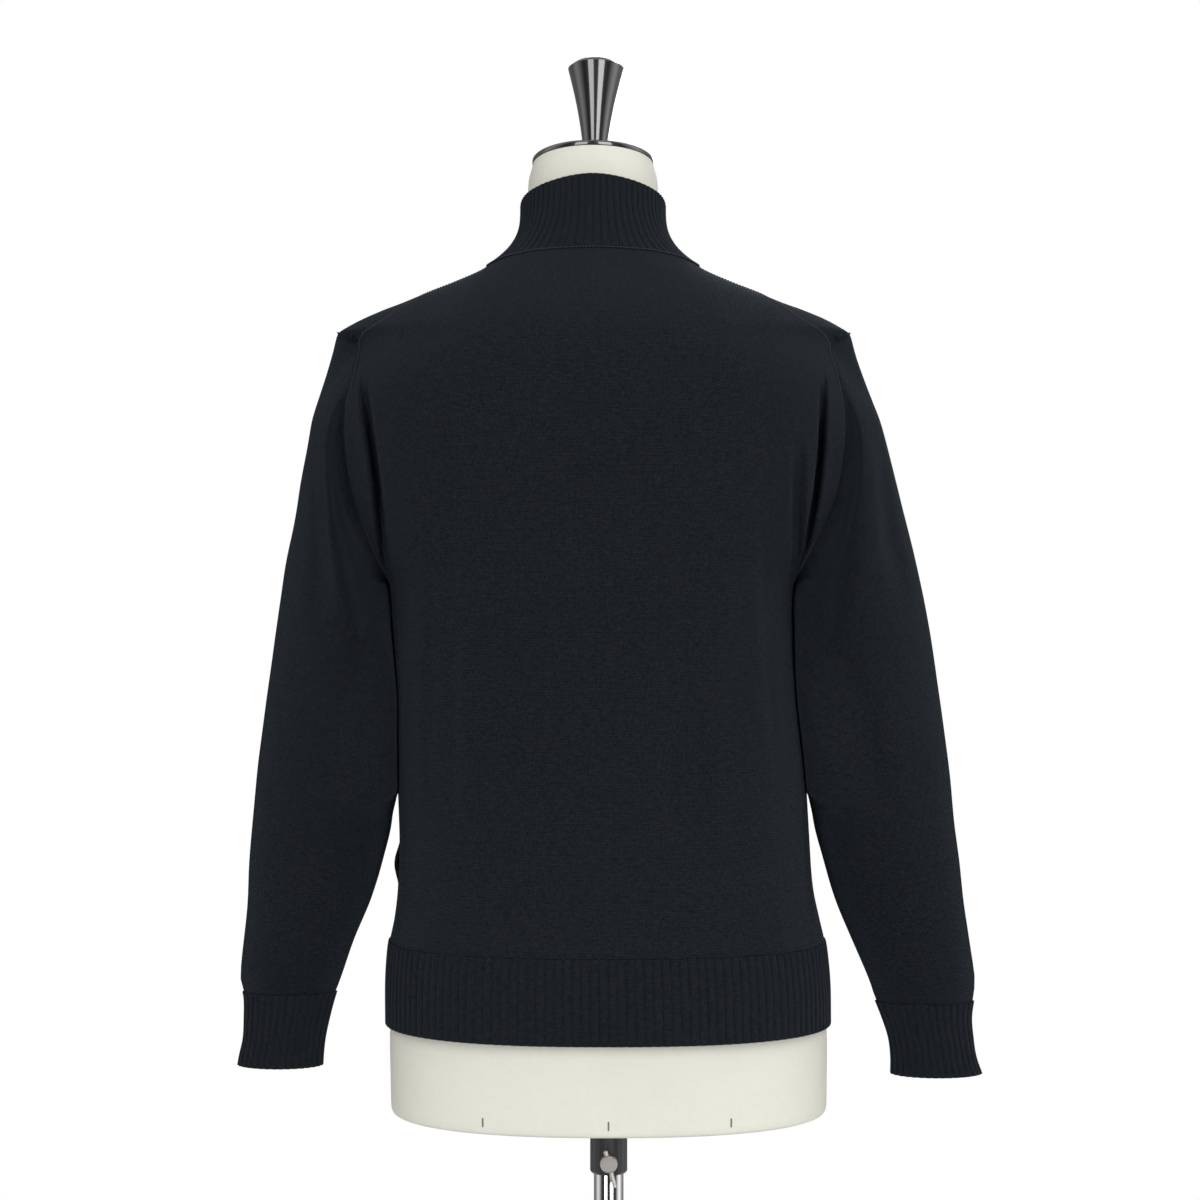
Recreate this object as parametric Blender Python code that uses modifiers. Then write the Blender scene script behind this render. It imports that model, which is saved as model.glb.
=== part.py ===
"""A knitted zip cardigan with a rib stand collar, worn by a limbless dress form on a pole stand.

Metres, +Z up. The origin is the middle of the stand's underside. The garment's front faces -Y, and
its wearer's left is +X. Garment sizes are tabled in millimetres, with heights above the underside of
the dress form, and x measured from the leaning centre line of the torso.
"""
import math
from bisect import bisect_right

import bmesh
import bpy
import numpy as np
from mathutils import Matrix, Vector

MM = 0.001
GAP = 0.3              # gap between neighbouring pieces

# Stand
FORM_BOTTOM = 400.0    # underside of the dress form above the floor
BASE_RADIUS = 170.0
BASE_THICKNESS = 8.0
BOSS_RADIUS = 24.0
BOSS_TOP = 48.0
POLE_RADIUS = 12.6
POLE_TOP = 750.0
BORE_RADIUS = 13.4
BORE_TOP = 1030.0
SOCKET_RADIUS = 15.8
SOCKET_LENGTH = 58.0

# Clamp screw of the socket
SCREW_DROP = 45.5      # its axis below the underside of the form
SCREW_HEAD_RADIUS = 7.3
SCREW_HEAD = (21.5, 28.5)
SCREW_SHANK_RADIUS = 4.0
BAR_RADIUS = 1.9
BAR_LENGTH = 32.0
BAR_OFFSET = -4.6      # the bar has slid this far through the head
BAR_TILT = 15.0

# Knit
WALL = 2.4             # body and sleeve cloth
RIB_WALL = 1.7         # rib cloth in a groove
RIB_RISE = 1.2         # a rib above its grooves
CUFF_SEAM = {1: 96.0, -1: 88.0}
CUFF_EDGE = {1: 33.5, -1: 22.5}
HEM_SEAM = 141.0
HEM_EDGE = 72.0
HEM_RIBS_BACK = 72
HEM_RIBS_FRONT = 36
CUFF_RIBS = 32
COLLAR_RIBS = 76
ZIP_HALF = 4.5         # each front edge from the centre line
POCKET_MOUTH = (181.0, 228.0)
POCKET_GAPE = 5.0

# Section of the torso: the share of an ellipse's roundness, 2 is an ellipse
SECTION = 2.4
RIDGE_Y = -3.0
ARMPIT_Z = 441.0
NECK_POINT = 90.0      # half width of the neck seam

# Section sizes of the knitted body: height, half width on the left and right, depth back and front
BODY_TABLE = (
    (72, 187.3, 187.0, 133.0, 128.0),
    (104, 187.0, 187.0, 132.5, 127.5),
    (126, 185.6, 185.6, 131.0, 126.0),
    (141, 183.6, 183.8, 128.8, 124.5),
    (160, 179.4, 179.8, 124.0, 121.0),
    (185, 176.0, 175.4, 119.0, 117.5),
    (225, 173.8, 173.4, 112.5, 114.0),
    (300, 174.4, 171.0, 105.5, 112.5),
    (345, 175.0, 168.4, 104.0, 114.5),
    (400, 175.6, 165.8, 107.5, 119.5),
    (441, 176.0, 166.0, 111.0, 124.0),
    (500, 190.0, 188.0, 116.0, 128.0),
    (560, 201.0, 202.0, 118.5, 128.0),
    (600, 203.5, 205.0, 119.0, 118.0),
    (640, 205.0, 206.0, 117.0, 97.0),
    (680, 206.0, 206.0, 113.0, 81.0),
    (720, 206.0, 206.0, 110.0, 71.0),
    (760, 206.0, 206.0, 108.0, 65.0),
)
B_LEFT, B_RIGHT, B_BACK, B_FRONT = 1, 2, 3, 4

# Armhole seam: height, x on the back half left and right, x on the front half left and right, and
# how far the section stands back and forward of the ridge there
ARMHOLE_TABLE = (
    (441, 176.0, 166.0, 176.0, 166.0, 0.0, 0.0),
    (449, 178.6, 168.8, 177.6, 168.0, 12.0, 12.0),
    (462, 184.0, 175.4, 181.0, 173.0, 25.0, 24.0),
    (480, 190.4, 184.0, 186.6, 182.0, 36.0, 36.0),
    (508, 199.0, 196.6, 194.6, 193.0, 46.0, 47.0),
    (530, 203.4, 202.6, 198.6, 198.6, 50.0, 53.0),
    (562, 206.6, 207.4, 202.4, 203.0, 52.5, 57.0),
    (590, 204.8, 207.0, 205.0, 206.0, 51.0, 57.0),
    (615, 199.4, 203.0, 208.4, 209.4, 47.5, 53.0),
    (640, 196.0, 198.6, 213.0, 214.4, 43.0, 47.0),
    (648, 201.6, 203.6, 215.4, 216.8, 41.0, 42.0),
    (655, 217.0, 218.6, 217.0, 218.6, 40.0, 40.0),
)
A_BACK, A_FRONT, A_DEPTH_BACK, A_DEPTH_FRONT = 1, 3, 5, 6

# Ridge of the shoulder: x, its height, the radius of its rounding, and the angle round that rounding
# at which the shoulder seam lies on the back
RIDGE_TABLE = (
    (0, 748.0, 130.0, 3.0),
    (45, 738.6, 124.0, 3.0),
    (70, 725.4, 115.0, 3.0),
    (90, 710.6, 104.0, 3.0),
    (113, 699.6, 96.0, 5.0),
    (137, 690.0, 88.0, 9.0),
    (150, 684.6, 82.0, 20.0),
    (162, 679.8, 77.0, 28.0),
    (177, 674.4, 71.0, 39.0),
    (198, 665.6, 63.0, 43.0),
    (218, 655.0, 58.0, 42.0),
)
RIDGE_Z, RIDGE_ROUND, SEAM_ANGLE = 1, 2, 3

# Neck seam: x, its height on the back and on the front
NECK_TABLE = (
    (0, 718.0, 640.0),
    (28, 717.4, 643.0),
    (50, 716.2, 651.0),
    (67, 714.2, 664.0),
    (79, 712.4, 681.0),
    (86, 711.0, 696.0),
    (89, 710.4, 705.0),
    (89.7, 710.3, 710.4),
    (90, 710.2, 710.5),
)
NECK_BACK, NECK_FRONT = 1, 2

# Deep folds of the back beside the armholes, where cloth with no arm in it falls in: height, x of the
# fold on the left and right, and its depth
FOLD_TABLE = (
    (441, 173.0, 167.5, 0.0),
    (456, 174.5, 171.8, 4.0),
    (482, 176.0, 175.8, 10.0),
    (517, 177.3, 182.6, 15.0),
    (540, 180.0, 185.4, 16.0),
    (563, 183.6, 187.3, 15.0),
    (586, 186.0, 188.4, 9.0),
    (606, 187.0, 189.0, 0.0),
)
FOLD_LEFT, FOLD_RIGHT, FOLD_DEPTH = 1, 2, 3
FOLD_HALF_WIDTH = 8.0
FOLD_MARGIN = 9.0

# Soft vertical folds of the back and fronts: face, x at the top, x at the bottom, top, bottom,
# half width, depth
SOFT_FOLDS = (
    ("back", 122.0, 133.0, 470.0, 214.0, 26.0, 3.4),
    ("back", -140.0, -152.0, 520.0, 290.0, 20.0, 3.0),
    ("back", -164.0, -163.0, 545.0, 380.0, 9.0, 8.0),
    ("front", 128.0, 138.0, 480.0, 230.0, 26.0, 3.6),
    ("front", -134.0, -141.0, 500.0, 250.0, 24.0, 3.2),
)

# Sleeve rings: share of the length, height at the outer side, height at the inner side, and the half
# depth to the back and to the front
RING_TABLE = (
    (0.00, 655.0, 441.0, 50.0, 55.0),
    (0.09, 622.0, 427.0, 57.0, 60.0),
    (0.20, 580.0, 402.0, 61.0, 62.0),
    (0.32, 528.0, 368.0, 60.0, 58.0),
    (0.44, 466.0, 328.0, 54.0, 51.0),
    (0.56, 400.0, 284.0, 47.0, 44.0),
    (0.68, 330.0, 238.0, 40.0, 37.0),
    (0.80, 250.0, 190.0, 33.0, 31.0),
    (0.91, 168.0, 138.0, 28.0, 26.0),
    (1.00, 92.0, 92.0, 24.5, 22.5),
)
R_OUTER, R_INNER, R_BACK, R_FRONT = 1, 2, 3, 4

# Outer and inner lines of the hanging sleeves and cuffs: height, outer x left and right, inner x left
# and right
SLEEVE_TABLE = (
    (24, 315.6, 317.0, 244.0, 240.6),
    (40, 313.0, 311.4, 243.4, 240.8),
    (56, 309.4, 309.0, 241.6, 239.0),
    (74, 308.4, 307.8, 237.6, 233.4),
    (92, 308.4, 310.4, 232.6, 226.6),
    (106, 311.8, 312.0, 227.4, 222.0),
    (139, 308.8, 307.8, 215.2, 208.4),
    (173, 304.6, 303.4, 200.2, 194.8),
    (207, 302.4, 300.8, 189.0, 185.4),
    (241, 298.6, 297.4, 180.4, 177.6),
    (292, 292.2, 293.6, 177.4, 174.6),
    (343, 284.0, 288.2, 177.6, 171.6),
    (394, 275.6, 282.2, 178.2, 168.8),
    (428, 269.6, 277.0, 177.8, 168.2),
    (462, 263.4, 270.6, 177.8, 168.4),
    (496, 255.4, 263.0, 178.0, 168.4),
    (530, 248.8, 254.6, 178.0, 168.4),
    (564, 240.2, 245.4, 178.0, 168.4),
    (598, 232.0, 234.8, 178.0, 168.4),
    (632, 222.6, 223.8, 178.0, 168.4),
    (655, 217.0, 218.6, 178.0, 168.4),
)
S_OUTER, S_INNER = 1, 3

# Folds of the sleeves: side, share of the turn (0 inner side, 0.25 back, 0.5 outer side), the same at
# the fold's lower end, height of its top and bottom, half width as a share of the turn, depth
SLEEVE_FOLDS = (
    (1, 0.34, 0.29, 560.0, 400.0, 0.055, 5.0),
    (1, 0.72, 0.70, 540.0, 380.0, 0.060, 5.0),
    (1, 0.80, 0.84, 430.0, 250.0, 0.055, 4.0),
    (-1, 0.38, 0.36, 570.0, 420.0, 0.050, 4.5),
    (-1, 0.70, 0.66, 520.0, 360.0, 0.060, 5.0),
    (-1, 0.20, 0.24, 400.0, 240.0, 0.055, 3.0),
)

# Shares of the sleeve's length at which its rings lie, and rows of the cuff as share and spread
FINE_STEPS = 120       # points of a smooth ring before it is divided into ribs
SLEEVE_SHARES = (0.0, 0.035, 0.08, 0.14, 0.21, 0.29, 0.38, 0.47, 0.57, 0.67, 0.78, 0.89, 1.0)
SHAPE_EASE = 0.20      # share of the length over which the sleeve leaves the armhole's shape
CUFF_ROWS = ((0.5, 0.93), (1.0, 0.95))
SLEEVE_ROLL = 12.0     # how far the sleeve's cloth rolls out beside the armhole
ROLL_LENGTH = 0.36     # share of the length over which it does

# Dress form: height, half width, depth to the back and to the front, and the roundness of its section
FORM_TABLE = (
    (0, 170.0, 108.0, 107.0, 2.3),
    (4, 179.0, 117.0, 116.0, 2.3),
    (11, 183.4, 121.4, 120.0, 2.3),
    (20, 184.6, 122.4, 121.0, 2.3),
    (62, 184.9, 124.0, 120.6, 2.3),
    (80, 182.8, 123.6, 119.0, 2.3),
    (141, 174.0, 117.0, 113.6, 2.3),
    (225, 160.0, 104.0, 104.0, 2.3),
    (300, 151.0, 96.0, 102.0, 2.3),
    (380, 150.0, 98.0, 108.0, 2.3),
    (460, 154.0, 105.0, 116.0, 2.3),
    (530, 164.0, 110.0, 119.0, 2.3),
    (590, 174.0, 110.0, 108.0, 2.3),
    (630, 184.0, 102.0, 88.0, 2.2),
    (648, 186.0, 92.0, 75.0, 2.1),
    (663, 180.0, 83.0, 67.0, 2.0),
    (675.3, 164.0, 75.0, 61.0, 1.9),
    (686.3, 136.0, 68.0, 58.0, 1.75),
    (699.0, 104.0, 62.0, 55.0, 1.6),
    (709, 76.0, 59.0, 54.6, 1.65),
    (724, 60.0, 57.0, 55.6, 1.85),
    (744, 56.0, 56.0, 56.0, 2.0),
    (782, 54.8, 55.4, 55.4, 2.0),
    (797, 51.0, 52.0, 52.0, 2.0),
)
FORM_COLUMNS = 32
NECK_TILT = 9.0        # the top of the neck slopes down to the front
NECK_BEND = 748.0      # the slope starts here
NECK_TOP = 797.0
CAP_RADIUS = 51.6
CAP_THICKNESS = 4.6
CAP_DOME = 6.0

# Turned knob: height above its foot and radius
KNOB_PROFILE = (
    (0, 13.4), (4, 13.4), (6.5, 10.9), (11, 11.0), (30, 13.9), (47.5, 17.1), (62, 20.4), (75.2, 23.8),
    (76, 23.5), (80.3, 16.5), (83.1, 7.5), (83.5, 0),
)

# Collar: share of the way round from the centre front, half width, depth and height of its top edge
COLLAR_TOP_TABLE = (
    (0.00, 0.0, -69.0, 704.0),
    (0.12, 41.0, -52.0, 720.0),
    (0.27, 60.6, -4.0, 762.5),
    (0.38, 45.0, 43.0, 773.6),
    (0.50, 0.0, 63.0, 780.0),
    (0.62, -45.0, 43.0, 773.6),
)
COLLAR_LIFT = 0.12
COLLAR_FLARE = 3.1     # how fast the collar draws in from its seam

# Rows below a seam: heights of the hem, and shares of the collar's height
HEM_ROWS = (104.0, HEM_EDGE)
COLLAR_ROWS = (0.0, 0.2, 0.52, 1.0)

# Pocket bags
POCKET_SPACE = 1.0     # from the inside of the cloth to the bag
POCKET_WALL = 1.2

# Zip
TAPE_NEAR = 3.1        # the tape's inner edge from the centre line
TAPE_WIDTH = 9.9
TAPE_THICKNESS = 0.9
CHAIN_HALF = 2.8
CHAIN_SINK = 0.3       # the teeth lie this far below the cloth's outer side
CHAIN_THICKNESS = 2.4
SLIDER_HALF = 4.1
SLIDER_LENGTH = 11.0
SLIDER_THICKNESS = 2.2
SLIDER_DROP = 8.0
BRIDGE_LENGTH = 9.0
BRIDGE_RISE = 3.4
BRIDGE_WIRE = 1.0
BRIDGE_WIDTH = 1.8
BRIDGE_CORNER = 0.8
BRIDGE_FOOT = 0.6      # its posts reach this far into the slider
BOX_SIZE = (7.6, 3.0, 9.0)
TAB_LENGTH = 23.0
TAB_WIDTH = 6.0
TAB_THICKNESS = 1.2
TAB_BAR = 1.2
TAB_WINDOW = 3.4
TAB_WINDOW_LENGTH = 4.6
TAB_STAND = 1.2        # the tab's bar above the slider's face
TAB_DROP = 2.0         # the tab's bar below the slider's middle
KNOB_FOOT = 17.0

NAVY = (0.014, 0.017, 0.021)
NAVY_RIB = (0.013, 0.015, 0.018)
LINEN = (0.80, 0.79, 0.70)
BLACK = (0.012, 0.012, 0.012)
STEEL = (0.62, 0.62, 0.62)

COLLECTION = "cardigan_on_dress_form"


def clear_scene():
    for item in list(bpy.data.objects):
        bpy.data.objects.remove(item, do_unlink=True)


def collection():
    group = bpy.data.collections.get(COLLECTION)
    if group is None:
        group = bpy.data.collections.new(COLLECTION)
        bpy.context.scene.collection.children.link(group)
    return group


def material(name, colour, roughness, metallic=0.0):
    paint = bpy.data.materials.get(name) or bpy.data.materials.new(name)
    paint.use_nodes = True
    shader = paint.node_tree.nodes["Principled BSDF"]
    shader.inputs["Base Color"].default_value = (*colour, 1.0)
    shader.inputs["Roughness"].default_value = roughness
    shader.inputs["Metallic"].default_value = metallic
    return paint


def read(table, column, at):
    """The smooth value of one column of a table at a value of its first column."""
    keys = [row[0] for row in table]
    values = [row[column] for row in table]
    at = min(max(at, keys[0]), keys[-1])
    low = min(bisect_right(keys, at), len(keys) - 1) - 1

    def slope(index):
        before = max(index - 1, 0)
        after = min(index + 1, len(keys) - 1)
        return (values[after] - values[before]) / (keys[after] - keys[before])

    span = keys[low + 1] - keys[low]
    t = (at - keys[low]) / span
    return ((2 * t**3 - 3 * t**2 + 1) * values[low] + (t**3 - 2 * t**2 + t) * span * slope(low)
            + (3 * t**2 - 2 * t**3) * values[low + 1] + (t**3 - t**2) * span * slope(low + 1))


def smooth_step(t):
    t = min(max(t, 0.0), 1.0)
    return t * t * (3 - 2 * t)


def hump(t):
    """A soft rise from 0 at -1 to 1 at 0 and back to 0 at 1."""
    return 0.5 + 0.5 * math.cos(math.pi * min(1.0, abs(t)))


def lean(z):
    """The torso leans to the wearer's left as it rises."""
    return 13.3 * smooth_step(z / 680.0)


def place(x, y, z):
    return Vector(((x + lean(z)) * MM, y * MM, (z + FORM_BOTTOM) * MM))


# The knitted body

def armhole_x(z, side, face):
    """Half width at the armhole seam, or at the side seam below the armpit."""
    if z <= ARMPIT_Z:
        return read(BODY_TABLE, B_LEFT if side > 0 else B_RIGHT, z)
    first = A_BACK if face == "back" else A_FRONT
    return read(ARMHOLE_TABLE, first + (0 if side > 0 else 1), z)


def lateral(u, z, side, face):
    """x of a column of the cloth, u = 0 at the centre and 1 at the armhole or side seam."""
    swing = math.radians(90 - 20 * smooth_step((z - ARMPIT_Z) / 80.0))
    spread = (math.sin(u * swing) / math.sin(swing)) ** (2 / SECTION)
    half = read(BODY_TABLE, B_LEFT if side > 0 else B_RIGHT, z)
    return half * spread + (armhole_x(z, side, face) - half) * u**8


def depth(x, z, side, face):
    """How far the section stands back or forward at x, before the shoulder rounds it off."""
    full = read(BODY_TABLE, B_BACK if face == "back" else B_FRONT, z)
    edge = armhole_x(z, side, face)
    stand = 0.0
    if z > ARMPIT_Z:
        stand = read(ARMHOLE_TABLE, A_DEPTH_BACK if face == "back" else A_DEPTH_FRONT, z)
    whole = edge / (1 - (stand / full) ** SECTION) ** (1 / SECTION)
    return full * max(0.0, 1 - (x / whole) ** SECTION) ** (1 / SECTION)


def fold_in(x, z, side, face):
    """Depth of the folds at a point, x signed; they die out before the armhole and side seam."""
    total = 0.0
    if face == "back":
        centre = side * read(FOLD_TABLE, FOLD_LEFT if side > 0 else FOLD_RIGHT, z)
        total += max(0.0, read(FOLD_TABLE, FOLD_DEPTH, z)) * hump((x - centre) / FOLD_HALF_WIDTH)
    for place_on, x_top, x_bottom, top, bottom, half_width, deep in SOFT_FOLDS:
        if place_on != face or not bottom < z < top:
            continue
        t = (top - z) / (top - bottom)
        centre = x_top + (x_bottom - x_top) * t
        total += deep * math.sin(math.pi * t) * hump((x - centre) / half_width)
    return total * smooth_step((armhole_x(z, side, face) - abs(x)) / FOLD_MARGIN)


def body_point(u, s, side):
    """A point of the cloth on one half of the torso.

    s runs from the ridge of the shoulder down the back (positive) or down the front (negative).
    """
    face = "back" if s > 0 else "front"
    ridge_x = lateral(u, 655.0, side, face)
    ridge_z = read(RIDGE_TABLE, RIDGE_Z, ridge_x)
    rounding = read(RIDGE_TABLE, RIDGE_ROUND, ridge_x)
    quarter = rounding * math.pi / 2
    angle = min(abs(s), quarter) / rounding
    z = ridge_z - rounding * (1 - math.cos(angle)) - max(0.0, abs(s) - quarter)
    x = side * lateral(u, z, side, face)
    out = depth(abs(x), z, side, face) - fold_in(x, z, side, face)
    if face == "back":
        return (x, RIDGE_Y * (1 - smooth_step((ridge_z - z) / 90)) + out * math.sin(angle), z)
    lip = 0.0
    if side > 0 and POCKET_MOUTH[0] < z < POCKET_MOUTH[1]:
        middle = 0.5 * (POCKET_MOUTH[0] + POCKET_MOUTH[1])
        half = 0.5 * (POCKET_MOUTH[1] - POCKET_MOUTH[0])
        lip = POCKET_GAPE * hump((z - middle) / half) * smooth_step((u - 0.8) / 0.2)
    return (x + lip, RIDGE_Y * (1 - smooth_step((ridge_z - z) / 90)) - out * math.sin(angle) - lip * 0.6, z)


def s_at_height(u, z, side, face):
    """The distance from the ridge at which a column reaches a height."""
    ridge_x = lateral(u, 655.0, side, face)
    drop = read(RIDGE_TABLE, RIDGE_Z, ridge_x) - z
    rounding = read(RIDGE_TABLE, RIDGE_ROUND, ridge_x)
    if drop < rounding:
        s = rounding * math.acos(1 - max(0.0, drop) / rounding)
    else:
        s = rounding * math.pi / 2 + drop - rounding
    return s if face == "back" else -s


def top_of_column(u, side, face):
    """s where a column starts: at the neck seam, or at the shoulder seam on the back."""
    ridge_x = lateral(u, 655.0, side, face)
    if ridge_x < NECK_POINT - 0.05:
        column = NECK_BACK if face == "back" else NECK_FRONT
        return s_at_height(u, read(NECK_TABLE, column, ridge_x), side, face)
    rounding = read(RIDGE_TABLE, RIDGE_ROUND, ridge_x)
    return rounding * math.radians(read(RIDGE_TABLE, SEAM_ANGLE, ridge_x))


# Columns of the cloth from the centre to the armhole, by where they cross the ridge and where they
# would cross it if they ran straight up from the chest, and the rows
SHOULDER_COLUMNS = ((90, 122), (120, 137), (148, 153), (168, 168), (180, 180), (190.5, 190.5),
                    (199.5, 199.5), (208, 208))
COLUMNS_BACK = ((0, 0), (28, 30), (54, 58), (73, 82), (84, 103)) + SHOULDER_COLUMNS
COLUMNS_FRONT = ((ZIP_HALF, ZIP_HALF), (28, 24), (50, 43), (67, 60), (79, 76), (86, 90), (89, 101),
                 (89.7, 111)) + SHOULDER_COLUMNS
ARMHOLE_HEIGHTS_BACK = (624, 602, 578, 552, 526, 502, 480, 462, 449, ARMPIT_Z)
ARMHOLE_HEIGHTS_FRONT = (648, 628, 602, 574, 544, 514, 488, 468, 452, ARMPIT_Z)
SHARES_OVER_RIDGE = (0.5, 1.0)
NECK_ROWS = 2          # rows whose normals come from the surface itself, not from its grid
COLUMN_EASE = 0.6      # share of the way to the armpit over which a column bends
SIDE_HEIGHTS = (405, 360, 305, 255, 228, 212, 197, 181, 160)


def column_u(ridge_x, side, face):
    """u of the column that crosses the ridge at x."""
    low, high = 0.0, 1.0
    for _ in range(40):
        middle = 0.5 * (low + high)
        if lateral(middle, 655.0, side, face) < ridge_x:
            low = middle
        else:
            high = middle
    return high


def armhole_stations(side, face):
    """s of each row of the armhole column, from the shoulder seam to the armpit."""
    start = top_of_column(1.0, side, face)
    stations = [start]
    heights = ARMHOLE_HEIGHTS_BACK
    if face == "front":
        stations += [start * (1 - share) for share in SHARES_OVER_RIDGE]
        heights = ARMHOLE_HEIGHTS_FRONT
    return stations + [s_at_height(1.0, z, side, face) for z in heights]


def body_row(u, s, side):
    """A point of the cloth with its outward normal, six numbers."""
    point = np.array(body_point(u, s, side))
    u_low = max(u - 0.001, 0.0)
    across = np.array(body_point(u_low + 0.001, s, side)) - np.array(body_point(u_low, s, side))
    step = 0.5 if s > 0 else -0.5
    down = np.array(body_point(u, s + step, side)) - point
    normal = unit(np.cross(across, down))
    outside = (0.3 * side, 2 * step, 0.8)
    return (*point, *(normal if normal.dot(outside) > 0 else -normal))


def half_panel(side, face):
    """Columns of one side of one face, from the centre to the armhole, as lists of points."""
    stations = armhole_stations(side, face)
    places = COLUMNS_BACK if face == "back" else COLUMNS_FRONT
    columns = []
    shares = [(s - stations[0]) / (stations[-1] - stations[0]) for s in stations]
    for top_x, low_x in places + ((None, None),):
        high = 1.0 if top_x is None else column_u(top_x, side, face)
        low = 1.0 if low_x is None else column_u(low_x, side, face)
        top = top_of_column(high, side, face)
        armpit = s_at_height(low, ARMPIT_Z, side, face)
        column = [body_row(high + (low - high) * smooth_step(share / COLUMN_EASE),
                           top + (armpit - top) * share, side) for share in shares]
        for z in SIDE_HEIGHTS + (HEM_SEAM,):
            column.append(body_row(low, s_at_height(low, z, side, face), side))
        columns.append(column)
    if face == "front":
        columns[0] = [(side * ZIP_HALF, *row[1:]) for row in columns[0]]
    return columns


def grid_of(columns):
    """An array of rows of points from a list of columns."""
    return np.array(columns).transpose(1, 0, 2)


def unit(vectors):
    return vectors / np.linalg.norm(vectors, axis=-1, keepdims=True)


def normals_of(grid, closed=False):
    """Outward normals of a grid whose rows run down and columns run clockwise seen from above."""
    if closed:
        across = np.roll(grid, -1, axis=1) - np.roll(grid, 1, axis=1)
    else:
        across = np.gradient(grid, axis=1)
    return unit(np.cross(across, np.gradient(grid, axis=0)))


# Meshes of cloth walls

def new_object(name, vertices, faces, paint, smooth_angle=40.0):
    mesh = bpy.data.meshes.new(name)
    mesh.from_pydata([place(*vertex) for vertex in vertices], [], faces)
    shell = bmesh.new()
    shell.from_mesh(mesh)
    bmesh.ops.triangulate(shell, faces=shell.faces)
    bmesh.ops.recalc_face_normals(shell, faces=shell.faces)
    shell.to_mesh(mesh)
    shell.free()
    mesh.shade_smooth()
    mesh.set_sharp_from_angle(angle=math.radians(smooth_angle))
    thing = bpy.data.objects.new(name, mesh)
    thing.data.materials.append(paint)
    collection().objects.link(thing)
    return thing


def wall(name, outer, inner, paint, closed=False):
    """A closed wall between an outer grid and an inner grid.

    The outer grid has a whole number of columns for each one of the inner grid.
    """
    rows, columns = outer.shape[:2]
    in_columns = inner.shape[1]
    spans = columns if closed else columns - 1
    in_spans = in_columns if closed else in_columns - 1
    ratio = spans // in_spans
    base = rows * columns

    def out_at(k, j):
        return k * columns + j % columns

    def in_at(k, j):
        return base + k * in_columns + j % in_columns

    points = [*outer.reshape(-1, 3), *inner.reshape(-1, 3)]
    faces = []

    def edge_strip(outside, first, second):
        """Triangles between outer points and the two inner points behind them."""
        if len(outside) == 2:
            a, b = outside
            across = np.linalg.norm(points[a] - points[second])
            if across < np.linalg.norm(points[b] - points[first]):
                faces.extend(((a, b, second), (a, second, first)))
            else:
                faces.extend(((a, b, first), (b, second, first)))
            return
        half = len(outside) // 2
        for i in range(len(outside) - 1):
            faces.append((outside[i], outside[i + 1], first if i < half else second))
        faces.append((outside[half], second, first))

    for k in range(rows - 1):
        for j in range(spans):
            faces.append((out_at(k, j), out_at(k, j + 1), out_at(k + 1, j + 1), out_at(k + 1, j)))
        for j in range(in_spans):
            faces.append((in_at(k, j), in_at(k + 1, j), in_at(k + 1, j + 1), in_at(k, j + 1)))
    last = rows - 1
    for j in range(in_spans):
        for row in (0, last):
            outside = [out_at(row, i) for i in range(j * ratio, (j + 1) * ratio + 1)]
            edge_strip(outside, in_at(row, j), in_at(row, j + 1))
    if not closed:
        for k in range(last):
            edge_strip((out_at(k, 0), out_at(k + 1, 0)), in_at(k, 0), in_at(k + 1, 0))
            edge_strip((out_at(k, columns - 1), out_at(k + 1, columns - 1)),
                       in_at(k, in_columns - 1), in_at(k + 1, in_columns - 1))
    return new_object(name, points, faces, paint)


def step_off(points, normals, toward, gap=GAP):
    """Seam points moved by the gap within the cloth, towards the piece's next row."""
    aside = unit(np.cross(np.gradient(points, axis=0), normals))
    sign = np.sign(np.sum(aside * (toward - points), axis=-1, keepdims=True))
    return points + aside * sign * gap


def resample(points, spans):
    """Points at equal steps along a polyline; any further columns are carried along."""
    steps = np.linalg.norm(np.diff(points[:, :3], axis=0), axis=1)
    length = np.concatenate(([0.0], np.cumsum(steps)))
    wanted = np.linspace(0.0, length[-1], spans + 1)
    return np.stack([np.interp(wanted, length, column) for column in points.T], axis=1)


def plain_wall(name, grid, normals, paint, closed=False):
    return wall(name, grid, grid - normals * WALL, paint, closed)


def ribbed_wall(name, grid, normals, paint, ribs_per_inner, closed=False, lift=0.0):
    """Ribs stand out of the outer side at every second column; the inner side is plain.

    lift is the share of the last row's height by which its inner edge is drawn back from the seam.
    """
    rise = np.zeros((1, grid.shape[1], 1))
    rise[:, 1::2] = RIB_RISE
    inner = (grid - normals * RIB_WALL)[:, ::2 * ribs_per_inner]
    inner[-1] += (inner[-2] - inner[-1]) * lift
    return wall(name, grid + normals * rise, inner, paint, closed)


# Body

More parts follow.
